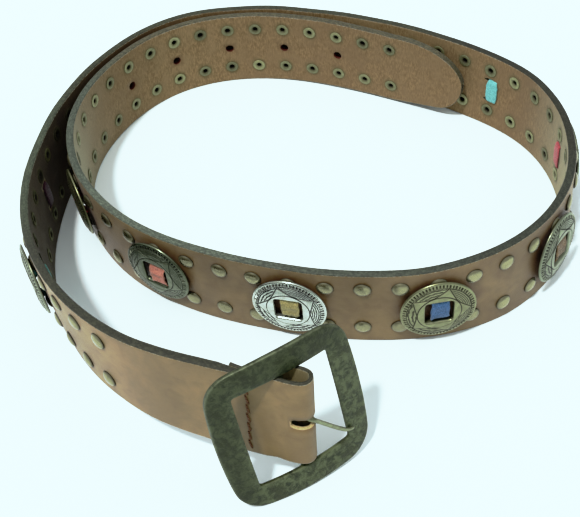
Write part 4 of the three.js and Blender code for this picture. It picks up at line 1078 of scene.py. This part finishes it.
# the centre bar, with a fillet where it runs into the frame
rings = []
for y in (-25.2, -24.6, -23.6, -22.6, -21.8, -20.8, -19.5, -10, 0, 10, 19.5, 20.8, 21.8, 22.6, 23.6, 24.6, 25.2):
    grow = np.clip((abs(y) - 20.4) / 3.2, 0, 1) ** 1.5
    a = np.arange(20) / 20 * 2 * math.pi
    local = np.stack([(1.3 + .8 * grow) * np.cos(a), np.full(20, y), (1.3 - .1 * grow) * np.sin(a) - BAR_BACK + .45 * grow], -1)
    rings.append(frame_build.add(place(buckle_axes, buckle_origin, local), local_mm=local, rubbed=0.1, patina=0.0))
for a, c in zip(rings, rings[1:]):
    frame_build.quads(list(a), list(c), closed=True, flip=True)
frame_build.faces += [tuple(int(i) for i in rings[0]), tuple(int(i) for i in rings[-1][::-1])]
frame_build.marks += [0, 0]
frame_build.piece("buckle_casting", [BRONZE], "buckle", "buckle_bronze", ["buckle_frame"])

# the tongue: a flattened prong on an eye round the bar
prong = Build()
route = catmull([(1.2, 1.4, -.45), (3.2, 1.35, 2.3), (4.7, 1.1, 4.2), (5.6, .3, 4.75), (7.2, -2.0, 4.1), (9.5, -5.3, 3.25), (12.5, -9.6, 2.2), (15.1, -13.1, 1.35),
                 (17.4, -15.8, .75), (19.1, -16.85, .35), (20.9, -17.5, .05)], 66)
direction = unit(np.gradient(route, axis=0))
side = unit(np.cross(direction, [0, 0, 1.0]))
top = np.cross(side, direction)
rings = []
for i in range(len(route)):
    f = i / (len(route) - 1)
    knob = .2 * math.exp(-((f - .2) / .06) ** 2)
    w, t = .78 - .12 * f ** 2 + knob, .76 - .22 * f ** 2 + knob
    tail = math.sqrt(max(0.02, 1 - max(0, (f - .94) / .062) ** 2)) if f > .94 else 1
    a = np.arange(14) / 14 * 2 * math.pi
    sx, sy = np.sign(np.cos(a)) * np.abs(np.cos(a)) ** .7 * w * tail, np.sign(np.sin(a)) * np.abs(np.sin(a)) ** .7 * t * tail
    local = route[i] + side[i] * sx[:, None] + top[i] * sy[:, None]
    # painted shading: the prong darker along its sides than on its front and back
    rings.append(prong.add(place(buckle_axes, buckle_origin, local), local_mm=local, patina=.25 * (1 - np.abs(sy) / t) + .0 * sx))
for a, c in zip(rings, rings[1:]):
    prong.quads(list(a), list(c), closed=True, flip=False)
prong.faces += [tuple(int(i) for i in rings[0][::-1]), tuple(int(i) for i in rings[-1])]
prong.marks += [0, 0]
rings = []
for r, y in ((1.46, -1.1), (1.6, -1.3), (1.95, -1.3), (2.1, -1.1), (2.16, 0), (2.1, 1.1), (1.95, 1.3), (1.6, 1.3), (1.46, 1.1), (1.44, 0)):
    a = np.arange(32) / 32 * 2 * math.pi
    local = np.stack([r * np.cos(a), np.full(32, y + 1.4), r * np.sin(a) - BAR_BACK], -1)
    rings.append(prong.add(place(buckle_axes, buckle_origin, local), local_mm=local, patina=.3))
for a, c in zip(rings, rings[1:] + rings[:1]):
    prong.quads(list(a), list(c), closed=True, flip=True)
prong.piece("tongue_prong", [TONGUE], "tongue", "tongue_bronze", ["tongue"])


# ---------------------------------------------------------------- seam
def tube(build, points, radius, sides=8, closed_ends=True):
    points = np.asarray(points)
    t = unit(np.gradient(points, axis=0))
    ref = np.array([0, 0, 1.0]) if abs(t[0][2]) < .9 else np.array([1.0, 0, 0])
    n = unit(np.cross(t, ref))
    m = np.cross(t, n)
    d = np.r_[0, np.cumsum(np.linalg.norm(np.diff(points, axis=0), axis=1))]
    rings = []
    for i in range(len(points)):
        a = np.arange(sides) / sides * 2 * math.pi
        r = radius * (.55 if i in (0, len(points) - 1) else 1)
        ring = points[i] + r * (np.cos(a)[:, None] * n[i] + np.sin(a)[:, None] * m[i])
        rings.append(build.add(ring, local_mm=np.stack([d[i] + a * .12, np.cos(a), np.sin(a)], -1), patina=0.0))
    for a, b in zip(rings, rings[1:]):
        build.quads(list(a), list(b), closed=True)
    build.faces += [tuple(int(i) for i in rings[0]), tuple(int(i) for i in rings[-1][::-1])]
    build.marks += [0, 0]


seam = Build()
SEAM_S, SEAM_STEP = 72.28, 4.6
stitch = np.random.default_rng(77)
ups = np.arange(2.6, WIDTH - 1.5, SEAM_STEP)
for a, b in zip(ups, ups[1:]):
    for front in (True, False):
        u = np.linspace(0, 1, 9)
        zig = .55 * stitch.uniform(.6, 1.2)
        along = (SEAM_S - FOLD_FROM) * PITCH + zig * (1 - 2 * u) * (1 if front else -1)
        lift = np.sin(np.pi * u) ** .5 * .34 - .12
        if front:
            pts = fold_point(along, THICK / 2 + lift, a + (b - a) * u)
        else:
            k = int(np.argmin(np.hypot(fold_line[:, 0] - (SEAM_S - FOLD_FROM) * PITCH, fold_line[:, 1] + 2)))
            off = .5 * SKIVE_THICK + lift
            pts = fold_point(fold_line[k, 0] + fold_out[k, 0] * off + zig * (1 - 2 * u), fold_line[k, 1] + fold_out[k, 1] * off, a + (b - a) * u)
        tube(seam, pts, .42)
seam.piece("seam_thread", [THREAD], "belt")

# ---------------------------------------------------------------- floor and light
floor_mesh = bpy.data.meshes.new("floor")
floor_mesh.from_pydata([(-3, -3, 0), (3, -3, 0), (3, 3, 0), (-3, 3, 0)], [], [(0, 1, 2, 3)])
floor = bpy.data.objects.new("floor", floor_mesh)
scene.collection.objects.link(floor)
paper = Nodes("floor_white")
paper.set(color=(.87, .93, .95, 1), rough=.75, specular=.2)
floor_mesh.materials.append(paper.material)

sun_data = bpy.data.lights.new("key", "SUN")
sun_data.energy = 2.2
sun_data.angle = math.radians(5)
sun_data.color = (1.0, .985, .96)
sun = bpy.data.objects.new("key", sun_data)
scene.collection.objects.link(sun)
sun.rotation_mode = "QUATERNION"
sun.rotation_quaternion = Vector((.268, .321, -1)).to_track_quat("-Z", "Y")

world = bpy.data.worlds.new("world")
scene.world = world
world.use_nodes = True
wt = world.node_tree
wt.nodes.clear()
w_out = wt.nodes.new("ShaderNodeOutputWorld")
w_bg = wt.nodes.new("ShaderNodeBackground")
w_co = wt.nodes.new("ShaderNodeTexCoord")
w_sep = wt.nodes.new("ShaderNodeSeparateXYZ")
w_ramp = wt.nodes.new("ShaderNodeValToRGB")
wt.links.new(w_co.outputs["Generated"], w_sep.inputs[0])
wt.links.new(w_sep.outputs[2], w_ramp.inputs[0])
wt.links.new(w_ramp.outputs[0], w_bg.inputs[0])
wt.links.new(w_bg.outputs[0], w_out.inputs[0])
w_ramp.color_ramp.elements[0].position, w_ramp.color_ramp.elements[0].color = 0.0, (.21, .225, .225, 1)
w_ramp.color_ramp.elements[1].position, w_ramp.color_ramp.elements[1].color = 1.0, (.75, .80, .80, 1)
mid_stop = w_ramp.color_ramp.elements.new(.45)
mid_stop.color = (.47, .50, .50, 1)
w_bg.inputs[1].default_value = 1.22

scene.view_settings.view_transform = "Standard"
scene.view_settings.look = "None"
scene.view_settings.exposure = 0.0
scene.view_settings.gamma = 1.0
# the surface it stands on runs out to a cool white, as in an exposure set for the leather
scene.view_settings.use_curve_mapping = True
tone = scene.view_settings.curve_mapping
tone.use_clip = False
tone.extend = "HORIZONTAL"
shared = [(0, 0), (.0137, .006), (.0222, .013), (.05, .044), (.093, .09), (.18, .18), (.26, .28), (.33, .41), (.41, .54)]
tops = (((.5, .60), (.62, .70), (.8, .81), (1.1, .855), (2.0, .86)), ((.5, .66), (.62, .79), (.8, .92), (1.1, .975), (2.0, .98)),
        ((.5, .67), (.62, .81), (.8, .94), (1.1, .99), (2.0, .995)))
for channel, top in enumerate(tops):
    curve = tone.curves[channel]
    while len(curve.points) > 2:
        curve.points.remove(curve.points[1])
    curve.points[0].location, curve.points[1].location = shared[0], top[-1]
    for x, y in [*shared[1:], *top[:-1]]:
        curve.points.new(x, y * (.96 if channel == 0 and x > .4 and x < .45 else 1))
tone.update()
